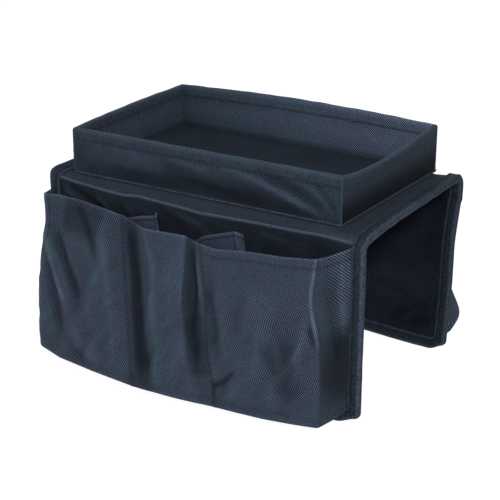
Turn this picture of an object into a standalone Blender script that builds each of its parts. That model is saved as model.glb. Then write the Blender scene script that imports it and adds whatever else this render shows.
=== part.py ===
# Sofa armrest organizer: an open tray on a saddle, with a pocketed flap folded down on each side of the arm.
# Metres. X runs along the arm, the front faces -Y, and the table it stands on is the lowest Z.
import math

import bmesh
import bpy
from mathutils import Vector

# Layers: every panel is a cover cloth, a stiff board and a lining cloth
cloth = 0.0008
board = 0.0016
gap = 0.0003
overrun = 0.002

# Saddle: the stiffened panel that lies across the arm
saddle_length = 0.320
saddle_depth = 0.197
saddle_height = 0.160
fold_radius = 0.006
tape_width = 0.010

# Tray: four boarded walls sewn to the saddle, and a loose boarded floor
tray_height = 0.041
tray_left_margin = 0.013
tray_right_margin = 0.031
tray_front_margin = 0.018
tray_rear_margin = 0.001
floor_board = 0.002
floor_clearance = 0.0014
piping_radius = 0.0009

# Flaps: the front one hangs straight and the rear one leans in under the saddle
flap_corner = 0.009
rear_lean = math.radians(8)

# Front pockets: one cloth, sewn down along two seams that run aside as the cloth slumps
hem_drop = 0.013
hem_sag = 0.013
hem_depth = 0.022
base_depth = 0.056
base_clearance = 0.003
left_overhang = 0.0005
left_tuck = 0.007
seam_1_inset = 0.087
seam_2_inset = 0.173
seam_slump = 0.033
right_crease_inset = 0.034
right_crease_run = 0.015
pocket_curl = 0.008
seat_rise = 0.002

# Inner pockets: two slim ones for pens or glasses, behind the mouths of the big ones
inner_drop = 0.012
inner_sag = 0.003
inner_height = 0.090
inner_depth = 0.0065
inner_curl = 0.003
inner_left_width = 0.033
inner_right_width = 0.042

# Rear pockets: two wide ones for magazines
rear_hem_drop = 0.026
rear_hem_sag = 0.004
rear_hem_depth = 0.012
rear_base_depth = 0.040
rear_corner_spread = 0.002

# Shape of each pocket seen from above: (share of its width, share of its depth) along the front cloth,
# at its mouth, at its waist half way down, and at its base
left_mouth_shares = ((0, 0.55), (0.25, 0.54), (0.5, 0.52), (0.75, 0.46), (1, 0.46))
left_waist_shares = ((0, 0.43), (0.20, 0.48), (0.5, 0.58), (0.8, 0.63), (1, 0.58))
left_base_shares = ((0, 0.55), (0.12, 0.68), (0.35, 0.84), (0.65, 0.93), (1, 0.96))
middle_mouth_shares = (
    (0, 0.46), (0.12, 0.38), (0.24, 0.52), (0.33, 0.95), (0.58, 0.91), (0.82, 0.86), (0.89, 0.58), (1, 0.95),
)
middle_waist_shares = (
    (0, 0.58), (0.08, 0.51), (0.24, 0.68), (0.42, 0.86), (0.64, 0.85), (0.80, 0.80), (0.87, 0.62), (1, 0.74),
)
middle_base_shares = (
    (0, 0.96), (0.07, 0.93), (0.14, 0.97), (0.22, 1.00), (0.50, 0.98), (0.80, 0.88), (0.90, 0.82), (1, 0.84),
)
right_mouth_shares = ((0, 0.95), (0.2, 1.04), (0.46, 1.00), (0.72, 1.04), (0.92, 1.10), (1, 1.10))
right_waist_shares = ((0, 0.74), (0.2, 0.80), (0.46, 0.83), (0.72, 0.79), (0.94, 0.73), (1.05, 0.70))
right_base_shares = ((0, 0.84), (0.2, 0.88), (0.42, 0.91), (0.68, 0.85), (0.88, 0.73), (1, 0.62))
inner_shares = ((0, 0.8), (0.15, 1.0), (0.5, 1.05), (0.85, 1.0), (1, 0.8))
rear_mouth_shares = ((0, 0.4), (0.08, 0.85), (0.2, 1.0), (0.5, 1.08), (0.83, 1.0), (1, 0.75))
rear_waist_shares = ((0, 0.28), (0.08, 0.52), (0.2, 0.67), (0.5, 0.73), (0.83, 0.70), (1, 0.55))
rear_base_shares = ((0, 0.60), (0.08, 0.78), (0.2, 0.93), (0.5, 1.0), (0.83, 0.94), (1, 0.78))
floor_sag_share = 0.8

# Mesh steps
arc_steps = 6
stretch_steps = 3
wall_rows = 6
curl_rows = 3
seat_rows = 3

# Worked out from the sizes above
lip = gap + cloth
board_face = cloth + gap
lining_face = board_face + board + gap
stack = lining_face + cloth
bead_radius = fold_radius - lip
panel_half = saddle_length / 2 - lip
axis_y = saddle_depth / 2 - fold_radius
axis_z = saddle_height - fold_radius
saddle_edge = axis_y - bead_radius - gap
wall = board + 2 * lip
tray_length = saddle_length - tray_left_margin - tray_right_margin
tray_depth = saddle_depth - tray_front_margin - tray_rear_margin
tray_x = tray_left_margin + tray_length / 2 - saddle_length / 2
tray_y = saddle_depth / 2 - tray_rear_margin - tray_depth / 2
tray_z = saddle_height + gap
front_reach = axis_z
rear_reach = (axis_z - (fold_radius + lip) * math.sin(rear_lean)) / math.cos(rear_lean)
pocket_edge = saddle_length / 2 - tape_width - gap - lip - overrun
seat_height = tape_width + seat_rise
seam_height = front_reach - seat_height + fold_radius - hem_drop - hem_sag
rear_dip = (fold_radius + gap + rear_base_depth) * math.tan(rear_lean)

# Directions in which an outline is laid: drawn on XZ with its thickness along Y, or on YZ along X
upright = (math.pi / 2, 0, 0)
crosswise = (math.pi / 2, 0, math.pi / 2)

navy_twill = ("#28313d", 0.62)
black_tape = ("#1b222c", 0.7)
dark_lining = ("#171b23", 0.8)
grey_board = ("#7c766c", 0.85)


def clear_scene():
    for old in list(bpy.data.objects):
        bpy.data.objects.remove(old)


def collection(name):
    made = bpy.data.collections.new(name)
    bpy.context.scene.collection.children.link(made)
    return made


def linear(channel):
    return channel / 12.92 if channel <= 0.04045 else ((channel + 0.055) / 1.055) ** 2.4


def material(name, finish):
    colour, roughness = finish
    made = bpy.data.materials.new(name)
    made.use_nodes = True
    shader = made.node_tree.nodes["Principled BSDF"]
    red, green, blue = (linear(int(colour[at : at + 2], 16) / 255) for at in (1, 3, 5))
    shader.inputs["Base Color"].default_value = (red, green, blue, 1)
    shader.inputs["Roughness"].default_value = roughness
    shader.inputs["Metallic"].default_value = 0
    return made


def empty(name, location, rotation=(0, 0, 0), parent=None):
    made = bpy.data.objects.new(name, None)
    parts.objects.link(made)
    made.parent = parent
    made.location = location
    made.rotation_euler = rotation
    made.empty_display_size = tape_width
    return made


def piece(name, mesh, finish, parent, location=(0, 0, 0), rotation=(0, 0, 0)):
    made = bpy.data.objects.new(name, mesh)
    mesh.materials.append(material(name, finish))
    parts.objects.link(made)
    made.parent = parent
    made.location = location
    made.rotation_euler = rotation
    return made


def cutter(name, mesh, parent, location=(0, 0, 0), rotation=(0, 0, 0)):
    made = bpy.data.objects.new(name, mesh)
    cutters.objects.link(made)
    made.parent = parent
    made.location = location
    made.rotation_euler = rotation
    made.hide_render = True
    made.display_type = "WIRE"
    return made


def cut(body, tool, folded=False):
    """Cuts the tool's shape from the body; folded is for cloth whose pleats touch one another."""
    boolean = body.modifiers.new(tool.name, "BOOLEAN")
    boolean.operation = "DIFFERENCE"
    boolean.solver = "EXACT"
    boolean.use_self = folded
    boolean.object = tool


def arc(centre, radius, start, end):
    """Points on an arc, angles in degrees anticlockwise from the outline's first axis."""
    angles = [math.radians(start + (end - start) * step / arc_steps) for step in range(arc_steps + 1)]
    return [(centre[0] + radius * math.cos(a), centre[1] + radius * math.sin(a)) for a in angles]


def rectangle(left, bottom, right, top):
    return [(left, bottom), (right, bottom), (right, top), (left, top)]


def curve_mesh(name, points, closed, **settings):
    """A curve through the points, turned into a mesh with its caps welded on."""
    curve = bpy.data.curves.new(name, "CURVE")
    for setting, value in settings.items():
        setattr(curve, setting, value)
    spline = curve.splines.new("POLY")
    spline.points.add(len(points) - 1)
    for target, place in zip(spline.points, points):
        target.co = (*place, *(0,) * (3 - len(place)), 1)
    spline.use_cyclic_u = closed
    guide = bpy.data.objects.new(name, curve)
    bpy.context.scene.collection.objects.link(guide)
    bpy.context.view_layer.update()
    mesh = bpy.data.meshes.new_from_object(guide.evaluated_get(bpy.context.evaluated_depsgraph_get()))
    bpy.data.objects.remove(guide)
    sheet = bmesh.new()
    sheet.from_mesh(mesh)
    bmesh.ops.remove_doubles(sheet, verts=sheet.verts, dist=gap / 100)
    sheet.to_mesh(mesh)
    sheet.free()
    return mesh


def flat_mesh(name, outline, thickness):
    return curve_mesh(name, outline, True, dimensions="2D", fill_mode="BOTH", extrude=thickness / 2)


def block_mesh(name, size):
    solid = bmesh.new()
    bmesh.ops.create_cube(solid, size=1)
    bmesh.ops.scale(solid, vec=size, verts=solid.verts)
    mesh = bpy.data.meshes.new(name)
    solid.to_mesh(mesh)
    solid.free()
    return mesh


def build_saddle(root):
    """Cover, board and lining one under the other, taped along both ends."""
    layers = (
        ("saddle_cover", 0, cloth, axis_y - gap, navy_twill),
        ("saddle_board", board_face, board, saddle_edge, grey_board),
        ("saddle_lining", lining_face, cloth, saddle_edge, dark_lining),
    )
    for name, below, thickness, half_depth, finish in layers:
        mesh = block_mesh(name, (2 * panel_half, 2 * half_depth, thickness))
        piece(name, mesh, finish, root, (0, 0, saddle_height - below - thickness / 2))
    for name, side in (("saddle_left_tape", -1), ("saddle_right_tape", 1)):
        mesh = flat_mesh(name, tape_section(side), 2 * saddle_edge)
        piece(name, mesh, black_tape, root, (0, 0, saddle_height), upright)


def tape_section(side):
    """A tape folded round the saddle's end, seen along Y, from the saddle's top surface."""
    edge = saddle_length / 2
    inner = edge - tape_width
    outline = [
        (inner, lip), (edge, lip), (edge, -stack - lip), (inner, -stack - lip),
        (inner, -stack - gap), (edge - cloth, -stack - gap), (edge - cloth, gap), (inner, gap),
    ]
    return [(side * x, z) for x, z in outline]


def build_fold(name, root, side):
    """The cloth hinge between the saddle and a flap: a half round that both of them turn about."""
    tucked = 95
    outline = arc((0, 0), bead_radius, 180 - tucked, 180 + tucked)
    outline += arc((0, 0), bead_radius - cloth, 180 + tucked, 180 - tucked)
    mesh = flat_mesh(name, [(-side * y, z) for y, z in outline], 2 * panel_half)
    piece(name, mesh, navy_twill, root, (0, side * axis_y, axis_z), crosswise)


def build_tray(root):
    """Each wall is a cloth folded over a board, and the walls meet in rolled corner seams."""
    tray = empty("tray", (tray_x, tray_y, tray_z), parent=root)
    long_run = tray_length - 2 * wall - 2 * gap
    short_run = tray_depth - 2 * wall - 2 * gap
    reach_x = tray_length / 2 - wall / 2
    reach_y = tray_depth / 2 - wall / 2
    walls = (
        ("front", long_run, (0, -reach_y, 0), crosswise),
        ("rear", long_run, (0, reach_y, 0), crosswise),
        ("left", short_run, (-reach_x, 0, 0), upright),
        ("right", short_run, (reach_x, 0, 0), upright),
    )
    for side, run, place, turn in walls:
        piece(f"tray_{side}_cover", flat_mesh(side, wall_section(), run), navy_twill, tray, place, turn)
        core = rectangle(-board / 2, 0, board / 2, tray_height - wall / 2)
        piece(f"tray_{side}_board", flat_mesh(side, core, run), grey_board, tray, place, turn)
    for depth_name, y in (("front", -reach_y), ("rear", reach_y)):
        for side_name, x in (("left", -reach_x), ("right", reach_x)):
            build_corner(f"tray_{depth_name}_{side_name}_seam", tray, x, y)
    build_floor(tray)
    build_piping(tray)


def wall_section():
    """The tray wall's cloth, an upside-down U that leaves room for the board."""
    half = wall / 2
    crown = (0, tray_height - half)
    outer = arc(crown, half, 0, 180)
    inner = arc(crown, half - cloth, 180, 0)
    return [(half, 0), *outer, (-half, 0), (cloth - half, 0), *inner, (half - cloth, 0)]


def build_corner(name, tray, x, y):
    """A rolled seam: a slim upright post with a rounded head, as high as the walls."""
    radius = wall / 2
    profile = bmesh.new()
    ring = [(radius * math.cos(a), radius * math.sin(a)) for a in (math.pi / 2 * s / 4 for s in range(5))]
    spine = [profile.verts.new((0, 0, tray_height))]
    spine += [profile.verts.new((r, 0, tray_height - radius + z)) for r, z in reversed(ring[:-1])]
    spine += [profile.verts.new((radius, 0, 0)), profile.verts.new((0, 0, 0))]
    for upper, lower in zip(spine, spine[1:]):
        profile.edges.new((upper, lower))
    mesh = bpy.data.meshes.new(name)
    profile.to_mesh(mesh)
    profile.free()
    post = piece(name, mesh, black_tape, tray, (x, y, 0))
    screw = post.modifiers.new("turn", "SCREW")
    screw.axis = "Z"
    screw.steps = screw.render_steps = 12
    screw.use_merge_vertices = True
    screw.merge_threshold = gap / 10


def build_floor(tray):
    """A board in a cloth that turns down over its four edges, loose between the walls."""
    inside_x = tray_length - 2 * wall - 2 * floor_clearance
    inside_y = tray_depth - 2 * wall - 2 * floor_clearance
    height = floor_board + lip
    shell = bmesh.new()
    bmesh.ops.create_cube(shell, size=1)
    bmesh.ops.scale(shell, vec=(inside_x, inside_y, height), verts=shell.verts)
    below = [face for face in shell.faces if face.normal.z < -0.5]
    bmesh.ops.delete(shell, geom=below, context="FACES_ONLY")
    mesh = bpy.data.meshes.new("tray_floor_cover")
    shell.to_mesh(mesh)
    shell.free()
    cover = piece("tray_floor_cover", mesh, navy_twill, tray, (0, 0, height / 2))
    solid = cover.modifiers.new("cloth", "SOLIDIFY")
    solid.thickness = cloth
    solid.use_even_offset = True
    core = block_mesh("tray_floor_board", (inside_x - 2 * lip, inside_y - 2 * lip, floor_board))
    piece("tray_floor_board", core, grey_board, tray, (0, 0, floor_board / 2))


def build_piping(tray):
    """A thin cord sewn round the foot of the tray."""
    bend = wall / 2 + gap + piping_radius
    half_x = (tray_length - wall) / 2
    half_y = (tray_depth - wall) / 2
    route = []
    for x, y, start in ((1, 1, 0), (-1, 1, 90), (-1, -1, 180), (1, -1, 270)):
        route += arc((x * half_x, y * half_y), bend, start, start + 90)
    mesh = curve_mesh("tray_piping", route, True, dimensions="3D", bevel_depth=piping_radius, bevel_resolution=1)
    piece("tray_piping", mesh, black_tape, tray, (0, 0, piping_radius))


def panel_outline(half_width, top, bottom, corner):
    """A flap's outline in its own frame, whose zero is the fold: square above, round corners below."""
    right = arc((half_width - corner, bottom + corner), corner, -90, 0)
    left = arc((corner - half_width, bottom + corner), corner, 180, 270)
    return [(half_width, top), (-half_width, top), *left, *right]


def build_flap(side, hinge, reach):
    """Cover, board and lining behind one another, with one tape folded round three edges."""
    bottom = lip - reach
    layers = (
        ("cover", 0, cloth, 0, navy_twill),
        ("board", board_face, board, -bead_radius - gap, grey_board),
        ("lining", lining_face, cloth, -bead_radius - gap, dark_lining),
    )
    for name, behind, thickness, top, finish in layers:
        outline = panel_outline(panel_half, top, bottom, flap_corner)
        mesh = flat_mesh(name, outline, thickness)
        place = (0, behind + thickness / 2 - fold_radius, 0)
        piece(f"{side}_flap_{name}", mesh, finish, hinge, place, upright)
    build_flap_tape(side, hinge, bottom)


def build_flap_tape(side, hinge, bottom):
    top = -bead_radius - gap
    middle = (0, stack / 2 - fold_radius, 0)
    outer = panel_outline(panel_half + lip, top, bottom - lip, flap_corner + lip)
    tape = piece(f"{side}_flap_tape", flat_mesh("tape", outer, stack + 2 * lip), black_tape, hinge, middle, upright)
    slot = panel_outline(panel_half + gap, top + overrun, bottom - gap, flap_corner + gap)
    slot_mesh = flat_mesh(f"{side}_slot", slot, stack + 2 * gap)
    cut(tape, cutter(f"{side}_tape_slot", slot_mesh, hinge, middle, upright))
    shown = tape_width - lip
    window = panel_outline(panel_half - shown, top + overrun, bottom + shown, lip)
    window_mesh = flat_mesh(f"{side}_window", window, stack + 2 * lip + 2 * overrun)
    cut(tape, cutter(f"{side}_tape_window", window_mesh, hinge, middle, upright))


def smooth(points):
    """A flowing line through the points, with the same number of steps in each stretch."""
    spots = [Vector(p) for p in (points[0], *points, points[-1])]
    line = [spots[1]]
    for before, here, there, after in zip(spots, spots[1:], spots[2:], spots[3:]):
        for step in range(1, stretch_steps + 1):
            t = step / stretch_steps
            bend = (2 * here, there - before, 2 * before - 5 * here + 4 * there - after, 3 * here - before - 3 * there + after)
            line.append(sum((term * t**power for power, term in enumerate(bend)), Vector((0, 0))) / 2)
    return line


def spread(shares, left, right, depth):
    """Turns a table of shares into places between two ends."""
    return [(left + (right - left) * across, depth * forward) for across, forward in shares]


def fronts(shares, mouth_ends, base_ends, depths):
    """The front cloth's lines at mouth, waist and base, from three tables of shares."""
    waist_ends = [(top + bottom) / 2 for top, bottom in zip(mouth_ends, base_ends)]
    widths = (mouth_ends, waist_ends, base_ends)
    return [smooth(spread(table, *ends, depth)) for table, ends, depth in zip(shares, widths, depths)]


def swell(mouth, waist, base, share):
    """A place on the curve that runs from the mouth through the waist to the base."""
    early = mouth * (1 - share) * (1 - 2 * share)
    late = base * share * (2 * share - 1)
    return early + waist * 4 * share * (1 - share) + late


def pouch(name, hinge, mouth, lines, base, level, seat, curl, backing):
    """A pocket: cloth lofted through its three lines, curled under, and walled at both sides.

    mouth and base are where the side walls meet the flap; level gives the mouth's height at an x.
    backing is the block that trims the pocket where it meets the flap.
    """
    low, rear = seat
    base_front = lines[2]
    rows = []
    for row in range(wall_rows + 1):
        share = row / wall_rows
        rows.append([])
        for top, middle, bottom in zip(*lines):
            flat = swell(top, middle, bottom, share)
            start = level(top.x)
            rows[-1].append((flat.x, flat.y, start + (low + curl - start) * share))
    for row in range(1, curl_rows + 1):
        turn = math.pi / 2 * row / curl_rows
        inset, rise = curl * (1 - math.cos(turn)), curl * (1 - math.sin(turn))
        rows.append([(p.x, p.y - inset, low + rise) for p in base_front])
    width = base_front[-1].x - base_front[0].x
    for row in range(1, seat_rows + 1):
        share = row / seat_rows
        rows.append([])
        for place in base_front:
            end = base[0] + (base[1] - base[0]) * (place.x - base_front[0].x) / width
            rise = (rear - low) * share**floor_sag_share
            depth = (place.y - curl) * (1 - share) - overrun * share
            rows[-1].append((place.x + (end - place.x) * share, depth, low + rise))
    for end in (0, 1):
        start = level(mouth[end])
        for number, row in enumerate(rows):
            share = number / (len(rows) - 1)
            back = (mouth[end] + (base[end] - mouth[end]) * share, -overrun, start + (rear - start) * share)
            row.insert(end * len(row), back)
    made = piece(name, grid_mesh(name, rows), navy_twill, hinge)
    solid = made.modifiers.new("cloth", "SOLIDIFY")
    solid.thickness = cloth
    solid.offset = -1
    cut(made, backing, folded=True)


def grid_mesh(name, rows):
    """Rows of (x, depth in front of the flap, height) joined into one sheet that faces outwards."""
    sheet = bmesh.new()
    front = fold_radius + gap
    grid = [[sheet.verts.new((x, -front - depth, z)) for x, depth, z in row] for row in rows]
    for upper, lower in zip(grid, grid[1:]):
        for a, b, c, d in zip(upper, lower, lower[1:], upper[1:]):
            sheet.faces.new((a, b, c, d))
    bmesh.ops.remove_doubles(sheet, verts=sheet.verts, dist=gap / 100)
    mesh = bpy.data.meshes.new(name)
    sheet.to_mesh(mesh)
    sheet.free()
    mesh.shade_smooth()
    return mesh


def backing_block(side, hinge, reach):
    """The flap's own space, with the gap in front of it that touching pieces keep."""
    thick = fold_radius + overrun
    mesh = block_mesh(f"{side}_backing", (saddle_length, thick, reach))
    return cutter(f"{side}_backing", mesh, hinge, (0, thick / 2 - fold_radius - gap, -reach / 2))


def front_hem(x):
    """Height of the front pockets' hem, from the fold's axis: it sags between its ends."""
    return fold_radius - hem_drop - hem_sag * (1 - (2 * x / saddle_length) ** 2)


def build_front_pockets(hinge):
    """Three pockets side by side, whose dividing seams lean towards the right."""
    backing = backing_block("front", hinge, front_reach)
    seat = (base_clearance - front_reach, seat_height - front_reach)
    left_end = -saddle_length / 2 - left_overhang
    left_base = left_end + left_tuck
    seam_1 = seam_1_inset - saddle_length / 2
    seam_2 = seam_2_inset - saddle_length / 2
    crease = saddle_length / 2 - right_crease_inset
    half = gap / 2

    depths = (hem_depth, base_depth, base_depth)
    layout = {
        "front_pocket_left": (
            (left_mouth_shares, left_waist_shares, left_base_shares),
            (left_end, seam_1 - half), (left_base, seam_1 + seam_slump - half),
            (-pocket_edge, seam_1 - half), (-pocket_edge, seam_1 + seam_slump - half),
        ),
        "front_pocket_middle": (
            (middle_mouth_shares, middle_waist_shares, middle_base_shares),
            (seam_1 + half, seam_2 - half), (seam_1 + seam_slump + half, seam_2 + seam_slump - half),
            (seam_1 + half, seam_2 - half), (seam_1 + seam_slump + half, seam_2 + seam_slump - half),
        ),
        "front_pocket_right": (
            (right_mouth_shares, right_waist_shares, right_base_shares),
            (seam_2 + half, crease), (seam_2 + seam_slump + half, crease + right_crease_run),
            (seam_2 + half, pocket_edge), (seam_2 + seam_slump + half, pocket_edge),
        ),
    }
    for name, (shares, mouth_ends, base_ends, mouth, base) in layout.items():
        lines = fronts(shares, mouth_ends, base_ends, depths)
        pouch(name, hinge, mouth, lines, base, front_hem, seat, pocket_curl, backing)
    clear = half + cloth + gap
    build_inner_pocket("inner_pocket_left", hinge, seam_1 + clear, inner_left_width, backing)
    build_inner_pocket("inner_pocket_right", hinge, seam_2 + clear, inner_right_width, backing)


def build_inner_pocket(name, hinge, left, width, backing):
    """A slim pocket that starts beside a seam and leans with it."""
    drift = seam_slump * inner_height / seam_height
    bottom = fold_radius - inner_drop - inner_height
    right = left + width

    def level(x):
        return fold_radius - inner_drop - inner_sag * (right - x) / width

    mouth, base = (left, right), (left + drift, right + drift)
    lines = fronts([inner_shares] * 3, mouth, base, [inner_depth] * 3)
    pouch(name, hinge, mouth, lines, base, level, (bottom, bottom + inner_curl), inner_curl, backing)


def rear_hem(x):
    return fold_radius - rear_hem_drop - rear_hem_sag * (1 - (2 * x / saddle_length) ** 2)


def build_rear_pockets(hinge):
    """Two pockets that share one seam down the middle of the flap."""
    backing = backing_block("rear", hinge, rear_reach)
    seat = (base_clearance + rear_dip - rear_reach, seat_height - rear_reach)
    shares = (rear_mouth_shares, rear_waist_shares, rear_base_shares)
    depths = (rear_hem_depth, rear_base_depth, rear_base_depth)
    for name, side in (("rear_pocket_left", -1), ("rear_pocket_right", 1)):
        seam, edge = side * gap / 2, side * pocket_edge
        lines = fronts(shares, (seam, edge), (seam, edge + side * rear_corner_spread), depths)
        ends = (seam, edge)
        if side < 0:
            lines = [line[::-1] for line in lines]
            ends = (edge, seam)
        pouch(name, hinge, ends, lines, ends, rear_hem, seat, pocket_curl, backing)


def centre_on_origin(root):
    """Moves the whole part so that the middle of its footprint is the origin."""
    bpy.context.view_layer.update()
    graph = bpy.context.evaluated_depsgraph_get()
    corners = []
    for made in parts.objects:
        if made.type == "MESH":
            seen = made.evaluated_get(graph)
            corners += [seen.matrix_world @ vertex.co for vertex in seen.data.vertices]
    lows = [min(corner[axis] for corner in corners) for axis in range(3)]
    highs = [max(corner[axis] for corner in corners) for axis in range(3)]
    root.location = (-(lows[0] + highs[0]) / 2, -(lows[1] + highs[1]) / 2, -lows[2])
    bpy.context.view_layer.update()
    print("overall size", [round(high - low, 5) for low, high in zip(lows, highs)])


clear_scene()
parts = collection("armrest_organizer")
cutters = collection("cutters")
organizer = empty("organizer", (0, 0, 0))
front_hinge = empty("front_hinge", (0, -axis_y, axis_z), parent=organizer)
rear_hinge = empty("rear_hinge", (0, axis_y, axis_z), (rear_lean, 0, math.pi), organizer)
build_saddle(organizer)
build_fold("front_fold", organizer, -1)
build_fold("rear_fold", organizer, 1)
build_tray(organizer)
build_flap("front", front_hinge, front_reach)
build_flap("rear", rear_hinge, rear_reach)
build_front_pockets(front_hinge)
build_rear_pockets(rear_hinge)
centre_on_origin(organizer)
for mark in (front_hinge, rear_hinge):
    print(mark.name, [round(value, 6) for value in mark.matrix_world.translation])
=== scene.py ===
import math

import bmesh
import bpy
import numpy as np
from mathutils import Matrix, Vector


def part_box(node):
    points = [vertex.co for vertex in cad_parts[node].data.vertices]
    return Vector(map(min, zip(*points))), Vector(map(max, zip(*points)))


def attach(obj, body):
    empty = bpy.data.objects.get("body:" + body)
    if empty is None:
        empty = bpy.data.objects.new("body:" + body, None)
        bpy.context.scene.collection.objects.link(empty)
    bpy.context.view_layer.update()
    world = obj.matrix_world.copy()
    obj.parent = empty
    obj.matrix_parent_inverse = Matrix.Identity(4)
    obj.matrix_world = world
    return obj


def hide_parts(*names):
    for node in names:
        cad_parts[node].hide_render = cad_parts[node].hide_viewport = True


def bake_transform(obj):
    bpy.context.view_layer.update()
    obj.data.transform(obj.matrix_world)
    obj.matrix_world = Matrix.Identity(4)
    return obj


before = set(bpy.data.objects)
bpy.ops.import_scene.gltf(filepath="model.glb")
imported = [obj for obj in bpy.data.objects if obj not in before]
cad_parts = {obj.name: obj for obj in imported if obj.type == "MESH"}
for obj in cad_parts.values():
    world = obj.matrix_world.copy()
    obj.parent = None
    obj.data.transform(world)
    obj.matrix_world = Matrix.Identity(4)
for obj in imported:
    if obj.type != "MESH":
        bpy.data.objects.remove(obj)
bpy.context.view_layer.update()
mm = 0.001

# All shapes below are in millimetres from the middle of the saddle's top:
# x along the arm rest, y from the front flap to the rear flap, z up.
seatLow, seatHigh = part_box("saddle_cover")
origin = np.array([(seatLow.x + seatHigh.x) / 2, (seatLow.y + seatHigh.y) / 2, seatHigh.z])


def toFrame(points):
    return np.asarray(points, float) * mm + origin


def boxOf(*nodes):
    corners = [(np.array(corner) - origin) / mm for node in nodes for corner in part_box(node)]
    return np.min(corners, axis=0), np.max(corners, axis=0)


def hexToLinear(text):
    parts = [int(text[i:i + 2], 16) / 255 for i in (1, 3, 5)]
    return [c / 12.92 if c <= 0.04045 else ((c + 0.055) / 1.055) ** 2.4 for c in parts] + [1.0]


def addNode(tree, kind, links=None, **settings):
    # one node with its settings, and its inputs given as plain values or as other nodes' outputs
    node = tree.nodes.new(kind)
    for name, value in settings.items():
        setattr(node, name, value)
    for socket, value in (links or {}).items():
        if isinstance(value, bpy.types.NodeSocket):
            tree.links.new(value, node.inputs[socket])
        else:
            node.inputs[socket].default_value = value
    return node


def mathOf(tree, operation, *values):
    return addNode(tree, "ShaderNodeMath", dict(enumerate(values)), operation=operation).outputs[0]


def rangeOf(tree, value, low, high):
    # 0 at low and 1 at high
    return addNode(tree, "ShaderNodeMapRange", {0: value, 1: low, 2: high}).outputs[0]


def mixOf(tree, share, first, second):
    return addNode(tree, "ShaderNodeMix", {0: share, 6: first, 7: second}, data_type="RGBA").outputs[2]


def noiseOf(tree, place, size, detail):
    links = {"Vector": place.outputs["Object"], "Scale": 1 / (size * mm), "Detail": detail}
    return addNode(tree, "ShaderNodeTexNoise", links).outputs[0]


def newMaterial(name):
    material = bpy.data.materials.new(name)
    material.use_nodes = True
    material.node_tree.nodes.clear()
    return material, material.node_tree


# Stage, camera and lamps
print("stage: camera, floor and lamps")
stageLooks = {
    "cameraPlace": (0.66692, -1.10060, 0.58491),
    "cameraTurn": (-31.078, 20.931, 0.357),     # yaw, pitch down and roll, in degrees
    "lens": 108.0, "sensor": 36.0,
    "floorSize": 12.0,
    "floorLevel": -0.0092,      # just under the flaps' low corners, which hang below the flaps' own foot
    "floorGlow": 0.93,          # plain white that the camera sees on the floor
    "floorShade": "#9C9C9C",    # what the lamps add to it
    "floorPaper": "#F4F4F4",    # what the floor sends back to the object
    "worldLevel": 0.028,
    "lamps": {
        # name: (place, aimed at, size, watts)
        "keySoftbox": ((2.04, -2.80, 2.10), (0.0, 0.0, 0.1), 0.8, 92.0),
        "fillSoftbox": ((-1.0, -3.7, 1.1), (0.0, 0.0, 0.08), 1.4, 16.0),
        "topSoftbox": ((0.3, 0.3, 3.9), (0.0, 0.0, 0.1), 1.8, 12.0),
        "backSoftbox": ((-1.6, 3.2, 1.5), (0.0, 0.0, 0.1), 1.6, 34.0),
    },
}


def plainView(tree, usual, plain):
    # the camera and glossy reflections see the plain shader, and all other rays the usual one
    path = addNode(tree, "ShaderNodeLightPath")
    direct = mathOf(tree, "MAXIMUM", path.outputs["Is Camera Ray"], path.outputs["Is Glossy Ray"])
    links = {0: direct, 1: usual.outputs[0], 2: plain.outputs[0]}
    return addNode(tree, "ShaderNodeMixShader", links).outputs[0]


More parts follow.
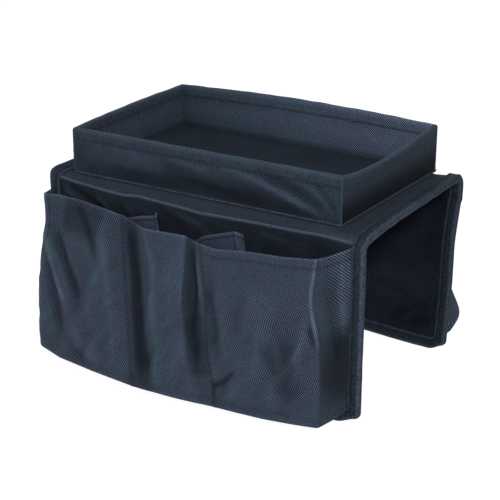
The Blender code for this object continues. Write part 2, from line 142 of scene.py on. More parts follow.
def makeStage(looks):
    yaw, pitch, roll = (math.radians(a) for a in looks["cameraTurn"])
    ahead = Vector((math.sin(yaw) * math.cos(pitch), math.cos(yaw) * math.cos(pitch), -math.sin(pitch)))
    right = Vector((math.cos(yaw), -math.sin(yaw), 0.0))
    up = right.cross(ahead)
    rightTurned = right * math.cos(roll) + up * math.sin(roll)
    upTurned = up * math.cos(roll) - right * math.sin(roll)
    camera = bpy.data.objects.new("camera", bpy.data.cameras.new("camera"))
    camera.data.lens = looks["lens"]
    camera.data.sensor_width = looks["sensor"]
    axes = (rightTurned, upTurned, -ahead, looks["cameraPlace"])
    camera.matrix_world = Matrix([[axis[i] for axis in axes] for i in range(3)] + [[0.0, 0.0, 0.0, 1.0]])
    bpy.context.scene.collection.objects.link(camera)
    bpy.context.scene.camera = camera

    half = looks["floorSize"] / 2
    corners = [(x * half, y * half, looks["floorLevel"]) for x, y in ((-1, -1), (1, -1), (1, 1), (-1, 1))]
    floorMesh = bpy.data.meshes.new("floor")
    floorMesh.from_pydata(corners, [], [(0, 1, 2, 3)])
    floor = bpy.data.objects.new("floor", floorMesh)
    material, tree = newMaterial("paleSeamlessPaper")
    paper = addNode(tree, "ShaderNodeBsdfDiffuse", {"Color": hexToLinear(looks["floorPaper"])})
    glow = addNode(tree, "ShaderNodeEmission", {"Color": (1, 1, 1, 1), "Strength": looks["floorGlow"]})
    shade = addNode(tree, "ShaderNodeBsdfDiffuse", {"Color": hexToLinear(looks["floorShade"])})
    seen = addNode(tree, "ShaderNodeAddShader", {0: glow.outputs[0], 1: shade.outputs[0]})
    addNode(tree, "ShaderNodeOutputMaterial", {"Surface": plainView(tree, paper, seen)})
    floorMesh.materials.append(material)
    bpy.context.scene.collection.objects.link(floor)

    world = bpy.data.worlds.new("paleRoom")
    bpy.context.scene.world = world
    world.use_nodes = True
    tree = world.node_tree
    tree.nodes.clear()
    room = addNode(tree, "ShaderNodeBackground", {"Color": (1, 1, 1, 1), "Strength": looks["worldLevel"]})
    white = addNode(tree, "ShaderNodeBackground", {"Color": (1, 1, 1, 1), "Strength": 1.0})
    addNode(tree, "ShaderNodeOutputWorld", {"Surface": plainView(tree, room, white)})

    for name, (place, aim, size, watts) in looks["lamps"].items():
        lamp = bpy.data.objects.new(name, bpy.data.lights.new(name, "AREA"))
        lamp.data.shape = "DISK"
        lamp.data.size = size
        lamp.data.energy = watts
        lamp.location = place
        lamp.rotation_euler = (Vector(aim) - Vector(place)).to_track_quat("-Z", "Y").to_euler()
        bpy.context.scene.collection.objects.link(lamp)
    bpy.context.scene.view_settings.view_transform = "Standard"


makeStage(stageLooks)


# Materials
print("materials: woven polyester, binding tape, lining, thread and board")


def wovenCloth(name, looks):
    # woven polyester: rows of raised threads with dark pits between them, under a soft sheen
    material, tree = newMaterial(name)
    place = addNode(tree, "ShaderNodeUVMap", uv_map="cloth")
    split = addNode(tree, "ShaderNodeSeparateXYZ", {0: place.outputs[0]})
    metres = addNode(tree, "ShaderNodeTexCoord")
    turn = 2 * math.pi / (looks["threadSpacing"] * mm)
    across = mathOf(tree, "MULTIPLY", split.outputs[0], turn)
    straight = mathOf(tree, "MULTIPLY", split.outputs[1], turn)
    along = mathOf(tree, "MULTIPLY_ADD", across, looks["skew"], straight)
    basket = mathOf(tree, "MULTIPLY", mathOf(tree, "SINE", across), mathOf(tree, "SINE", along))
    weave = rangeOf(tree, basket, -looks["pitEdge"], looks["pitEdge"])
    slub = noiseOf(tree, metres, looks["slubSize"], 3.0)
    cloud = noiseOf(tree, metres, looks["cloudSize"], 2.0)
    threads = mathOf(tree, "MULTIPLY", weave, looks["weaveShare"])
    lit = mathOf(tree, "MULTIPLY_ADD", slub, looks["slubShare"], threads)
    half = (looks["weaveShare"] + looks["slubShare"]) * 0.5
    ramp = rangeOf(tree, lit, half - looks["rampHalf"], half + looks["rampHalf"])
    patch = rangeOf(tree, cloud, *looks["cloudRange"])
    thread = mixOf(tree, patch, hexToLinear(looks["cool"]), hexToLinear(looks["warm"]))
    colour = mixOf(tree, ramp, hexToLinear(looks["pit"]), thread)
    # the tone attribute scales the colour; it carries painted highlights and painted shade, besides some
    # random unevenness
    tone = addNode(tree, "ShaderNodeAttribute", attribute_name="tone")
    links = {0: colour, "Scale": tone.outputs["Fac"]}
    toned = addNode(tree, "ShaderNodeVectorMath", links, operation="SCALE")
    links = {"Height": lit, "Distance": looks["threadHeight"] * mm, "Strength": looks["relief"]}
    bump = addNode(tree, "ShaderNodeBump", links)
    shader = addNode(tree, "ShaderNodeBsdfPrincipled", {
        "Base Color": toned.outputs[0], "Normal": bump.outputs[0], "Roughness": looks["roughness"],
        "Specular IOR Level": looks["specular"], "Sheen Weight": looks["sheen"],
        "Sheen Roughness": looks["sheenRoughness"], "Sheen Tint": hexToLinear(looks["sheenTint"])})
    addNode(tree, "ShaderNodeOutputMaterial", {"Surface": shader.outputs[0]})
    return material


def speckled(name, looks):
    # a fine uneven mix of two shades with a little relief
    material, tree = newMaterial(name)
    fleck = noiseOf(tree, addNode(tree, "ShaderNodeTexCoord"), looks["fleck"], 4.0)
    colour = mixOf(tree, fleck, hexToLinear(looks["dark"]), hexToLinear(looks["pale"]))
    bump = addNode(tree, "ShaderNodeBump", {"Height": fleck, "Distance": 0.1 * mm, "Strength": 0.5})
    shader = addNode(tree, "ShaderNodeBsdfPrincipled", {
        "Base Color": colour, "Normal": bump.outputs[0],
        "Roughness": looks["roughness"], "Sheen Weight": looks["sheen"]})
    addNode(tree, "ShaderNodeOutputMaterial", {"Surface": shader.outputs[0]})
    return material


# 600-denier woven polyester: the real threads lie 0.7 mm apart, drawn 2.25 mm apart so that they show.
# To the eye it is a dark blue grey with a fine grid, a little lighter where it turns away.
navyLooks = {
    "threadSpacing": 2.25, "threadHeight": 0.3, "relief": 0.7,
    "skew": 0.22,               # how far the rows run off the square
    "pitEdge": 0.4, "rampHalf": 0.45,       # the smaller, the sharper the step from thread to pit
    "weaveShare": 1.0, "slubSize": 1.6, "slubShare": 0.8,
    "cloudSize": 26.0, "cloudRange": (0.3, 0.7),
    "cool": "#546979", "warm": "#595E76", "pit": "#030509",
    "roughness": 0.85, "specular": 0.05,
    "sheen": 0.1, "sheenRoughness": 0.45, "sheenTint": "#9FB0C4",
}
navyCloth = wovenCloth("wovenNavyPolyester", navyLooks)
# Folded polyester binding: the same yarn in a closer weave, so it looks smoother and a shade lighter.
bindingCloth = wovenCloth("navyBindingTape", dict(
    navyLooks, threadSpacing=1.9, threadHeight=0.1, weaveShare=0.25, slubShare=1.6,
    cool="#46525F", warm="#494F60", pit="#141B24"))
# Tray floor: a smooth tightly woven lining cloth, darker and flatter than the walls.
floorCloth = wovenCloth("smoothFloorPolyester", dict(
    navyLooks, threadSpacing=1.2, threadHeight=0.05, weaveShare=0.8, slubShare=0.8,
    cool="#343F4B", warm="#363D4C", pit="#11171F", sheen=0.05))
# Inside lining: thin dark non-woven cloth that takes little light.
liningCloth = wovenCloth("darkNonWovenLining", dict(
    navyLooks, threadSpacing=2.4, threadHeight=0.08, slubShare=1.2,
    cool="#222A36", warm="#282B3A", pit="#090C12", sheen=0.05))
# Spun polyester sewing thread: dark, with a small sheen on each stitch.
threadStuff = speckled("spunSewingThread", {
    "pale": "#1D2530", "dark": "#0E131A", "fleck": 0.6, "roughness": 0.6, "sheen": 0.1})
# Grey board, as in a folder: pressed paper pulp with small flecks, hidden inside the cloth.
boardStuff = speckled("pressedGreyBoard", {
    "pale": "#77726A", "dark": "#5E5A54", "fleck": 3.0, "roughness": 0.9, "sheen": 0.0})


# Curves and uneven cloth
def smoothStep(value, low, high):
    t = np.clip((value - low) / (high - low), 0.0, 1.0)
    return t * t * (3 - 2 * t)


def bell(value, centre, width):
    # 1 at the centre, and next to nothing two widths away from it
    return np.exp(-((value - centre) / width) ** 2)


def passedBy(points):
    # how far along a line each of its points lies
    steps = np.linalg.norm(np.diff(np.asarray(points, float), axis=0), axis=1)
    return np.concatenate([[0], np.cumsum(steps)])


def pathLength(points):
    return float(passedBy(points)[-1])


def alongPath(points, places):
    # places before the first point or past the last one go on straight
    points = np.asarray(points, float)
    places = np.asarray(places, float)
    steps = np.diff(points, axis=0)
    passed = passedBy(points)
    lengths = np.diff(passed)
    inside = np.stack([np.interp(places, passed, column) for column in points.T], axis=-1)
    before = np.minimum(places, 0)[..., None] * steps[0] / lengths[0]
    after = np.maximum(places - passed[-1], 0)[..., None] * steps[-1] / lengths[-1]
    return inside + before + after


def smoothThrough(points, count):
    # a smooth curve through the given points, evenly spaced
    p = np.asarray(points, float)
    p = np.concatenate([[2 * p[0] - p[1]], p, [2 * p[-1] - p[-2]]])
    t = np.linspace(0, 1, 24, endpoint=False)[:, None]
    parts = []
    for a, b, c, d in zip(p[:-3], p[1:-2], p[2:-1], p[3:]):
        bend = (2 * a - 5 * b + 4 * c - d) * t ** 2 + (3 * b - a - 3 * c + d) * t ** 3
        parts.append(0.5 * (2 * b + (c - a) * t + bend))
    curve = np.concatenate(parts + [p[-2:-1]])
    return alongPath(curve, np.linspace(0, pathLength(curve), count))


def soften(grid, reach, axis):
    # evens a grid along one axis; the first and last rows stay
    if reach <= 0:
        return grid
    half = int(3 * reach)
    weights = np.exp(-0.5 * (np.arange(-half, half + 1) / reach) ** 2)
    weights /= weights.sum()
    moved = np.moveaxis(grid, axis, 0)
    count = len(moved)
    steps = np.minimum(np.arange(1, half + 1), count - 1)
    head = 2 * moved[0] - moved[steps[::-1]]
    tail = 2 * moved[-1] - moved[count - 1 - steps]
    padded = np.concatenate([head, moved, tail])
    result = sum(w * padded[i:i + count] for i, w in enumerate(weights))
    return np.moveaxis(result, 0, axis)


def facing(grid):
    # the way each grid point looks, taken from its neighbours
    normal = np.cross(np.gradient(grid, axis=0), np.gradient(grid, axis=1))
    return normal / np.maximum(np.linalg.norm(normal, axis=2, keepdims=True), 1e-9)


def wrinkles(u, v, size, seed, angle=0.0, spreadOf=math.pi):
    # a smooth uneven height between about -1 and 1, from plane waves of about one size
    chance = np.random.default_rng(seed)
    total = np.zeros(np.broadcast(u, v).shape)
    waves = 14
    for _ in range(waves):
        way = angle + (chance.random() - 0.5) * spreadOf
        length = size * (0.6 + 1.1 * chance.random())
        start = chance.random() * 2 * math.pi
        total += np.sin(2 * math.pi * (u * math.cos(way) + v * math.sin(way)) / length + start)
    return total / math.sqrt(waves)


def alongLine(u, v, line):
    # distance from each point to a drawn line, and the share of the line passed
    best = np.full(np.broadcast(u, v).shape, 1e9)
    share = np.zeros(best.shape)
    line = np.asarray(line, float)
    passed = passedBy(line)
    for i, (start, end) in enumerate(zip(line[:-1], line[1:])):
        length = passed[i + 1] - passed[i]
        way = (end - start) / length
        t = np.clip((u - start[0]) * way[0] + (v - start[1]) * way[1], 0, length)
        gap = np.hypot(u - start[0] - t * way[0], v - start[1] - t * way[1])
        share = np.where(gap < best, (passed[i] + t) / passed[-1], share)
        best = np.minimum(gap, best)
    return best, share


def foldHeight(u, v, folds):
    # folds drawn on the cloth: (line, width, height, sharpness), each one fading out at its ends
    total = np.zeros(np.broadcast(u, v).shape)
    for line, width, height, sharp in folds:
        gap, share = alongLine(u, v, line)
        fade = np.sin(np.clip(share, 0.02, 0.98) * math.pi) ** 0.6
        total += height * fade * np.exp(-(gap / width) ** (2 - sharp))
    return total


def drawnTone(u, v, marks):
    # painted shade in creases and painted highlights on ridges, drawn on the cloth: (line, width, how much
    # paler or darker)
    total = np.zeros(np.broadcast(u, v).shape)
    for line, width, amount in marks:
        gap, share = alongLine(u, v, line)
        fade = np.clip(np.minimum(share, 1 - share) * 7, 0.25, 1.0)
        total += amount * fade * np.exp(-(gap / width) ** 4)
    return np.exp(total)


wearAndShadeLooks = {
    "near": (2.2, 0.30), "wide": (10.0, 0.06),      # reach, and how much a step of 1 mm is worth
    "range": (-0.6, 0.45),
}


def wearAndFoldShade(grid, sign=1.0):
    # painted highlights where the cloth stands out and painted shade where it folds in, partly also the paler
    # wear of its raised edges
    rowStep = np.linalg.norm(np.diff(grid, axis=0), axis=2).mean()
    columnStep = np.linalg.norm(np.diff(grid, axis=1), axis=2).mean()
    away = facing(grid) * sign
    total = np.zeros(grid.shape[:2])
    for reach, pull in (wearAndShadeLooks["near"], wearAndShadeLooks["wide"]):
        even = soften(soften(grid, reach / rowStep, 0), reach / columnStep, 1)
        total += pull * ((grid - even) * away).sum(axis=2)
    return np.exp(np.clip(total, *wearAndShadeLooks["range"]))


def hemTone(down, edge, seam, seamAt, edgeWidth=1.3, seamWidth=1.0):
    # the turned edge of a pocket is painted pale, a painted highlight, and its seam gets painted shade
    return 1 + edge * bell(down, 0, edgeWidth) - seam * bell(down, seamAt, seamWidth)


# Cloth, board and trim makers
sharpBend = math.radians(62)        # an edge bent further than this is shaded as a sharp one


def bakeModifiers(piece):
    depsgraph = bpy.context.evaluated_depsgraph_get()
    seen = piece.evaluated_get(depsgraph)
    baked = bpy.data.meshes.new_from_object(seen, preserve_all_data_layers=True, depsgraph=depsgraph)
    piece.modifiers.clear()
    old = piece.data
    piece.data = baked
    baked.name = piece.name
    baked.set_sharp_from_angle(angle=sharpBend)
    bpy.data.meshes.remove(old)


def clothPiece(name, grid, material, thickness, uv=None, flip=False, tone=1.0, weld=False):
    # grid holds rows of points; faces look to the side from which rows run down and columns run right
    # tone scales the cloth's colour there: painted highlights where the cloth swells and painted shade in its
    # creases, with some wear and random unevenness
    rows, columns = grid.shape[:2]
    index = np.arange(rows * columns).reshape(rows, columns)
    a, b, c, d = index[:-1, :-1], index[1:, :-1], index[1:, 1:], index[:-1, 1:]
    faces = np.stack([a, d, c, b] if flip else [a, b, c, d], axis=-1).reshape(-1, 4)
    mesh = bpy.data.meshes.new(name)
    mesh.from_pydata(toFrame(grid.reshape(-1, 3)).tolist(), [], faces.tolist())
    if uv is None:
        steps = np.linalg.norm(np.diff(grid, axis=1), axis=2)
        u = np.concatenate([np.zeros((rows, 1)), np.cumsum(steps, axis=1)], axis=1)
        u = u - u[:, columns // 2:columns // 2 + 1]
        steps = np.linalg.norm(np.diff(grid, axis=0), axis=2)
        v = np.concatenate([np.zeros((1, columns)), np.cumsum(steps, axis=0)], axis=0)
        uv = np.stack([u, v], axis=-1)
    flat = (uv * mm).reshape(-1, 2)
    layer = mesh.uv_layers.new(name="cloth")
    corners = np.zeros(len(mesh.loops), dtype=np.int32)
    mesh.loops.foreach_get("vertex_index", corners)
    layer.data.foreach_set("uv", flat[corners].astype(np.float32).ravel())
    shade = mesh.attributes.new("tone", "FLOAT", "POINT")
    shade.data.foreach_set("value", np.broadcast_to(tone, (rows, columns)).astype(np.float32).ravel())
    mesh.materials.append(material)
    mesh.polygons.foreach_set("use_smooth", [True] * len(mesh.polygons))
    piece = bpy.data.objects.new(name, mesh)
    bpy.context.scene.collection.objects.link(piece)
    if weld:
        welded = bmesh.new()
        welded.from_mesh(mesh)
        bmesh.ops.remove_doubles(welded, verts=welded.verts, dist=0.02 * mm)
        bmesh.ops.dissolve_degenerate(welded, edges=welded.edges, dist=0.001 * mm)
        welded.to_mesh(mesh)
        welded.free()
    if thickness:
        solid = piece.modifiers.new("thickness", "SOLIDIFY")
        solid.thickness = thickness * mm
        solid.offset = -1.0
        solid.use_even_offset = False
        solid.use_rim = True
        bakeModifiers(piece)
    return piece


def roundTrim(name, route, radius, material, tone, ends=0.0):
    # a thin round welt along a route; with ends it narrows to nothing over that length at both
    route = np.asarray(route, float)
    ahead = np.gradient(route, axis=0)
    if np.allclose(route[0], route[-1]):
        ahead[0] = ahead[-1] = route[1] - route[-2]
    ahead /= np.linalg.norm(ahead, axis=1, keepdims=True)
    steady = np.array([0.0, 0.0, 1.0]) if abs(ahead[0, 2]) < 0.5 else np.array([1.0, 0.0, 0.0])
    sideways = np.cross(ahead, steady)
    sideways /= np.linalg.norm(sideways, axis=1, keepdims=True)
    above = np.cross(sideways, ahead)
    passed = passedBy(route)
    slim = np.ones(len(route))
    if ends:
        slim = np.sqrt(np.clip(np.minimum(passed, passed[-1] - passed) / ends, 0.0004, 1.0))
    turn = np.linspace(0, 2 * math.pi, 11)
    swell = radius * slim * (1 + 0.06 * wrinkles(passed, passed * 0, 5.0, 71))
    turned = turn[None, :, None]
    ring = np.cos(turned) * sideways[:, None, :] + np.sin(turned) * above[:, None, :]
    grid = route[:, None, :] + swell[:, None, None] * ring
    uv = np.stack(np.broadcast_arrays(passed[:, None], turn[None, :] * radius), axis=-1)
    return clothPiece(name, grid, material, 0, uv=uv, flip=True, tone=tone, weld=True)


# Stitches
print("stitches: the running stitch")
stitchLooks = {"Stitch length": 2.9, "Step": 3.9, "Thread radius": 0.32}    # in mm, drawn a little heavy


def stitchTree():
    # lays one small thread after another along the edges of a mesh line
    tree = bpy.data.node_groups.new("runningStitch", "GeometryNodeTree")
    tree.interface.new_socket("Geometry", in_out="INPUT", socket_type="NodeSocketGeometry")
    for name in stitchLooks:
        tree.interface.new_socket(name, in_out="INPUT", socket_type="NodeSocketFloat")
    tree.interface.new_socket("Thread", in_out="INPUT", socket_type="NodeSocketMaterial")
    tree.interface.new_socket("Geometry", in_out="OUTPUT", socket_type="NodeSocketGeometry")
    given = addNode(tree, "NodeGroupInput").outputs
    curve = addNode(tree, "GeometryNodeMeshToCurve", {"Mesh": given["Geometry"]})
    links = {"Curve": curve.outputs[0], "Length": given["Step"]}
    points = addNode(tree, "GeometryNodeCurveToPoints", links, mode="LENGTH")
    bead = addNode(tree, "GeometryNodeMeshUVSphere", {"Segments": 6, "Rings": 4, "Radius": 1.0})
    radius = given["Thread radius"]
    half = mathOf(tree, "MULTIPLY", given["Stitch length"], 0.5)
    size = addNode(tree, "ShaderNodeCombineXYZ", {0: radius, 1: radius, 2: half})
    laid = addNode(tree, "GeometryNodeInstanceOnPoints", {
        "Points": points.outputs["Points"], "Instance": bead.outputs[0],
        "Rotation": points.outputs["Rotation"], "Scale": size.outputs[0]})
    real = addNode(tree, "GeometryNodeRealizeInstances", {0: laid.outputs[0]})
    links = {"Geometry": real.outputs[0], "Material": given["Thread"]}
    painted = addNode(tree, "GeometryNodeSetMaterial", links)
    addNode(tree, "NodeGroupOutput", {"Geometry": painted.outputs[0]})
    return tree


runningStitch = stitchTree()


def sewLines(name, lines):
    points, edges = [], []
    for line in lines:
        first = len(points)
        points += toFrame(line).tolist()
        edges += [(i, i + 1) for i in range(first, len(points) - 1)]
    mesh = bpy.data.meshes.new(name)
    mesh.from_pydata(points, edges, [])
    piece = bpy.data.objects.new(name, mesh)
    modifier = piece.modifiers.new("stitches", "NODES")
    modifier.node_group = runningStitch
    for item in runningStitch.interface.items_tree:
        if item.in_out == "INPUT" and item.name in stitchLooks:
            modifier[item.identifier] = stitchLooks[item.name] * mm
        elif item.in_out == "INPUT" and item.name == "Thread":
            modifier[item.identifier] = threadStuff
    bpy.context.scene.collection.objects.link(piece)
    bakeModifiers(piece)
    return piece


# Tray
print("tray: four bowed walls")
trayLow, trayHigh = boxOf("tray_front_cover", "tray_rear_cover", "tray_left_cover", "tray_right_cover")
frontWallLow, frontWallHigh = boxOf("tray_front_cover")
wallThick = frontWallHigh[1] - frontWallLow[1]
trayLooks = {
    "hemDepth": 10.0,           # from the rim down to its stitch line
    "hemRise": 0.45,            # the turned-over cloth stands this proud
    "hemGroove": 0.5, "grooveWidth": 0.9,
    "pucker": 0.45,
    "footTuck": 0.9,            # the outside draws in at its foot
    "clothThick": 0.7, "boardThick": 1.2,
    "boardBack": 0.95,          # from the inside face to the board
    "columns": {"front": 220, "right": 150, "rear": 220, "left": 150},
    "seeds": {"front": 5, "right": 5, "rear": 4, "left": 4},
    # how far each rim has moved outwards and up by its middle, and where along it that is
    "bow": {"front": (0.0, 0.0, 0.5), "right": (5.0, -2.8, 0.36),
            "rear": (6.0, 2.0, 0.5), "left": (4.0, -0.5, 0.5)},
    "lean": 3.2,                # how far the rear right corner stands out to the right
    # how far each wall's two ends stand up
    "cornerLift": {"front": (1.2, 2.2), "right": (2.2, 3.6), "rear": (3.6, 2.6), "left": (2.6, 1.2)},
    # how light each wall is drawn, with painted shade low on the outside and painted light along the inside:
    # outside, inside, low on the outside, and the inside's first and last end
    "tones": {"front": (0.74, 0.75, 0.70, 1.0, 1.0), "right": (0.68, 0.75, 0.0, 1.0, 1.0),
              "rear": (0.9, 0.95, 0.8, 1.75, 0.75), "left": (0.9, 0.95, 0.8, 1.0, 0.95)},
    # painted highlights and painted shade, how much paler: on the rim, just under it, in the hem's seam, at
    # the inside's foot and by its middle
    "shades": (0.38, 0.30, -0.40, -0.45, 0.22),
    # painted shade in the front wall's folds and by its foot, and painted highlights on its ridges: points
    # (along, height), width, amount
    "marks": [
        ([(20, 6), (80, 8), (140, 9), (190, 6.5), (266, 1.5)], 6.5, -0.7),
        ([(90, 22), (150, 15), (205, 8)], 7, -0.48),
        ([(52, 27), (104, 24), (160, 24)], 5, 0.14),
        ([(150, 31), (205, 22), (262, 5)], 4, 0.2),
        ([(196, 32), (232, 22), (262, 8)], 3.6, -0.42),
        ([(222, 33), (246, 22), (268, 8)], 2.8, 0.18),
        ([(250, 33), (262, 22), (271, 10)], 2.6, -0.3),
        ([(4, 30), (8, 14), (30, 4)], 8, -0.2),
    ],
    # folds on the front wall: points (along, height), width, height, sharpness
    "frontFolds": [
        ([(112, 31), (180, 17), (243, 4)], 7, -1.4, 0.3),
        ([(160, 33), (205, 22), (266, 3)], 5.5, 3.4, 0.3),
        ([(205, 33), (240, 22), (268, 8)], 4, -1.5, 0.2),
        ([(232, 33), (254, 22), (270, 8)], 4, 2.2, 0.3),
        ([(92, 34), (135, 25), (170, 12)], 6, 2, 0.2),
        ([(20, 34), (60, 24), (100, 10)], 9, 1.4, 0),
        ([(30, 8), (90, 6), (150, 9)], 6, -0.8, 0),
    ],
}
trayTall = trayHigh[2] - trayLow[2]
hemLevel = trayHigh[2] - trayLooks["hemDepth"]
leaning = trayHigh[0] + trayLooks["lean"]
trayCorners = {     # outer corners, counter-clockwise from above, so that the outside is on the right
    "front": (np.array([trayLow[0], trayLow[1]]), np.array([trayHigh[0], trayLow[1]])),
    "right": (np.array([trayHigh[0], trayLow[1]]), np.array([leaning, trayHigh[1]])),
    "rear": (np.array([leaning, trayHigh[1]]), np.array([trayLow[0], trayHigh[1]])),
    "left": (np.array([trayLow[0], trayHigh[1]]), np.array([trayLow[0], trayLow[1]])),
}


def wallSection():
    # (distance in from the outer face, height): up the outside, over the rim and down the inside
    low, half = trayLow[2], wallThick / 2
    high = trayHigh[2] - half
    outside = [(0.0, h) for h in np.linspace(low, high, 34)]
    over = [(half - half * math.cos(a), high + half * math.sin(a)) for a in np.linspace(0, math.pi, 11)[1:-1]]
    inside = [(wallThick, h) for h in np.linspace(high, low + 1.0, 34)]
    return np.array(outside + over + inside)


def wallPoints(side, section, count, puckered=True):
    start, end = trayCorners[side]
    length = np.linalg.norm(end - start)
    way = (end - start) / length
    outward = np.array([way[1], -way[0]])
    out, up, peak = trayLooks["bow"][side]
    firstLift, lastLift = trayLooks["cornerLift"][side]
    share = np.linspace(0, 1, count)[None, :]
    inset, height = section[:, :1], section[:, 1:]
    along = inset + (length - 2 * inset) * share
    rise = (height - trayLow[2]) / trayTall
    swell = np.sin(math.pi * share ** (math.log(0.5) / math.log(peak)))
    outer = np.where(inset < wallThick / 2, 1.0, -1.0)
    bulge = out * swell * rise ** 1.3 - inset - trayLooks["footTuck"] * (outer > 0) * bell(rise, 0, 0.12)
    lift = up * swell * rise ** 1.6 + (firstLift + (lastLift - firstLift) * share) * rise
    if puckered:
        seed = trayLooks["seeds"][side]
        overTop = np.sin(np.clip(inset / wallThick, 0, 1) * math.pi)
        hem = smoothStep(height - hemLevel, -0.6, 0.6)
        edge = 0.2 + 0.8 * smoothStep(np.minimum(along, length - along), 4.0, 16.0)
        relief = trayLooks["hemRise"] * hem
        relief = relief - trayLooks["hemGroove"] * bell(height, hemLevel, trayLooks["grooveWidth"])
        puckers = trayLooks["pucker"] * wrinkles(along, height * 1.5, 26.0, seed) * (1 - hem * 0.6)
        relief = relief + puckers * rise
        relief = relief + 0.16 * wrinkles(along, height * 0.3, 7.0, 3 + seed) * bell(height, hemLevel, 6.0)
        if side == "front":
            folds = foldHeight(along, height, trayLooks["frontFolds"])
            relief = relief + np.where(outer > 0, folds, 0.0) * (1 - hem)
        bulge = bulge + relief * outer * edge * (1 - overTop)
        lift = lift + 0.25 * wrinkles(along, height * 0, 30.0, 9 + seed) * overTop * edge
    flat = start + way * along[..., None] + outward * bulge[..., None]
    return np.concatenate([flat, (height + lift)[..., None]], axis=2)


def wallTone(side, section, grid):
    # painted light and shade across a wall: its outside, its rim, its hem seam, its inside and its foot
    outside, inside, lowOutside, firstEnd, lastEnd = trayLooks["tones"][side]
    rim, underRim, seam, insideFoot, insideMiddle = trayLooks["shades"]
    inset, height = section[:, :1], section[:, 1:]
    share = np.linspace(0, 1, grid.shape[1])[None, :]
    rise = (height - trayLow[2]) / trayTall
    inner = smoothStep(inset, 0.2, wallThick - 0.2)
    tone = (1 - inner) * (lowOutside + (outside - lowOutside) * smoothStep(rise, 0.14, 0.72))
    tone = tone + inner * inside * (firstEnd + (lastEnd - firstEnd) * share)
    tone = tone * (1 + rim * np.sin(np.clip(inset / wallThick, 0, 1) * math.pi))
    tone = tone * (1 + underRim * bell(rise, 0.94, 0.035))
    tone = tone * (1 + seam * bell(height, hemLevel, trayLooks["grooveWidth"]))
    tone = tone * (1 + insideFoot * inner * (1 - smoothStep(height - trayLow[2], 3.5, 9.0)))
    tone = tone * (1 + insideMiddle * inner * bell(rise, 0.52, 0.22))
    if side == "front":
        drawn = drawnTone(share * (trayHigh[0] - trayLow[0]), height, trayLooks["marks"])
        tone = tone * (1 + (drawn - 1) * (1 - inner))
    return tone * wearAndFoldShade(grid, -1.0)


for side, (start, end) in trayCorners.items():
    section = wallSection()
    grid = wallPoints(side, section, trayLooks["columns"][side])
    along = np.linspace(0, np.linalg.norm(end - start), grid.shape[1])[None, :]
    uv = np.stack(np.broadcast_arrays(along, -passedBy(section)[:, None]), axis=-1)
    tone = wallTone(side, section, grid)
    piece = clothPiece(f"trayWallCloth_{side}", grid, navyCloth, trayLooks["clothThick"], uv, True, tone)
    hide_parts(f"tray_{side}_cover")
    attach(piece, "saddle")
    far = wallThick - trayLooks["boardBack"]
    near = far - trayLooks["boardThick"]
    foot, top = trayLow[2] + 0.4, trayHigh[2] - wallThick / 2
    loop = np.array([(near, foot), (near, top), (far, top), (far, foot), (near, foot)])
    board = clothPiece(f"trayBoard_{side}", wallPoints(side, loop, 40, False), boardStuff, 0, flip=True)
    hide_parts(f"tray_{side}_board")
    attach(board, "saddle")
    hemLines = wallPoints(side, np.array([(-0.15, hemLevel), (wallThick + 0.15, hemLevel)]), 100, False)
    thread = sewLines(f"trayRimStitches_{side}", hemLines[:, 3:-3])
    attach(thread, "saddle")

floorLow, floorHigh = boxOf("tray_floor_cover")
floorLooks = {
    "thick": 0.5, "inset": 0.4, "columns": 190, "rows": 130,
    "skirt": 2.4,               # how far the cloth goes on past the board's edge, turned down
    "edge": 1.1, "edgeWidth": 0.9,      # the edge falls away a little before that
    "sag": 0.35,
}


def overBoard(low, high, count):
    # one way across a cloth laid over a board: place, and how far it has turned down
    low, high = low + floorLooks["inset"], high - floorLooks["inset"]
    track = np.linspace(low - floorLooks["skirt"], high + floorLooks["skirt"], count)
    return np.clip(track, low, high), np.maximum(np.maximum(low - track, track - high), 0.0)


floorX, downX = overBoard(floorLow[0], floorHigh[0], floorLooks["columns"])
floorY, downY = overBoard(floorLow[1], floorHigh[1], floorLooks["rows"])
gx, gy = np.meshgrid(floorX, floorY)
fall = np.maximum(downX[None, :], downY[:, None])
inner = np.minimum.reduce([gx - floorLow[0], floorHigh[0] - gx, gy - floorLow[1], floorHigh[1] - gy])
fall = fall + floorLooks["edge"] * np.exp(-inner / floorLooks["edgeWidth"]) * (fall < 0.01)
fall = fall + floorLooks["sag"] * (0.5 + 0.5 * wrinkles(gx, gy, 120.0, 61)) * smoothStep(inner, 2.0, 30.0)
shareX, shareY = ((g - floorLow[i]) / (floorHigh[i] - floorLow[i]) for i, g in enumerate((gx, gy)))
grid = np.stack([gx + trayLooks["lean"] * shareX * shareY, gy, floorHigh[2] - fall], axis=-1)
# painted shade along the floor's edges where the walls stand, with a little random unevenness
tone = 0.62 + 0.38 * smoothStep(inner, 1.0, 9.0) + 0.05 * wrinkles(gx, gy, 60.0, 62)
floorSheet = clothPiece("trayFloorCloth", grid, floorCloth, floorLooks["thick"], tone=tone, weld=True)
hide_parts("tray_floor_cover")
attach(floorSheet, "saddle")

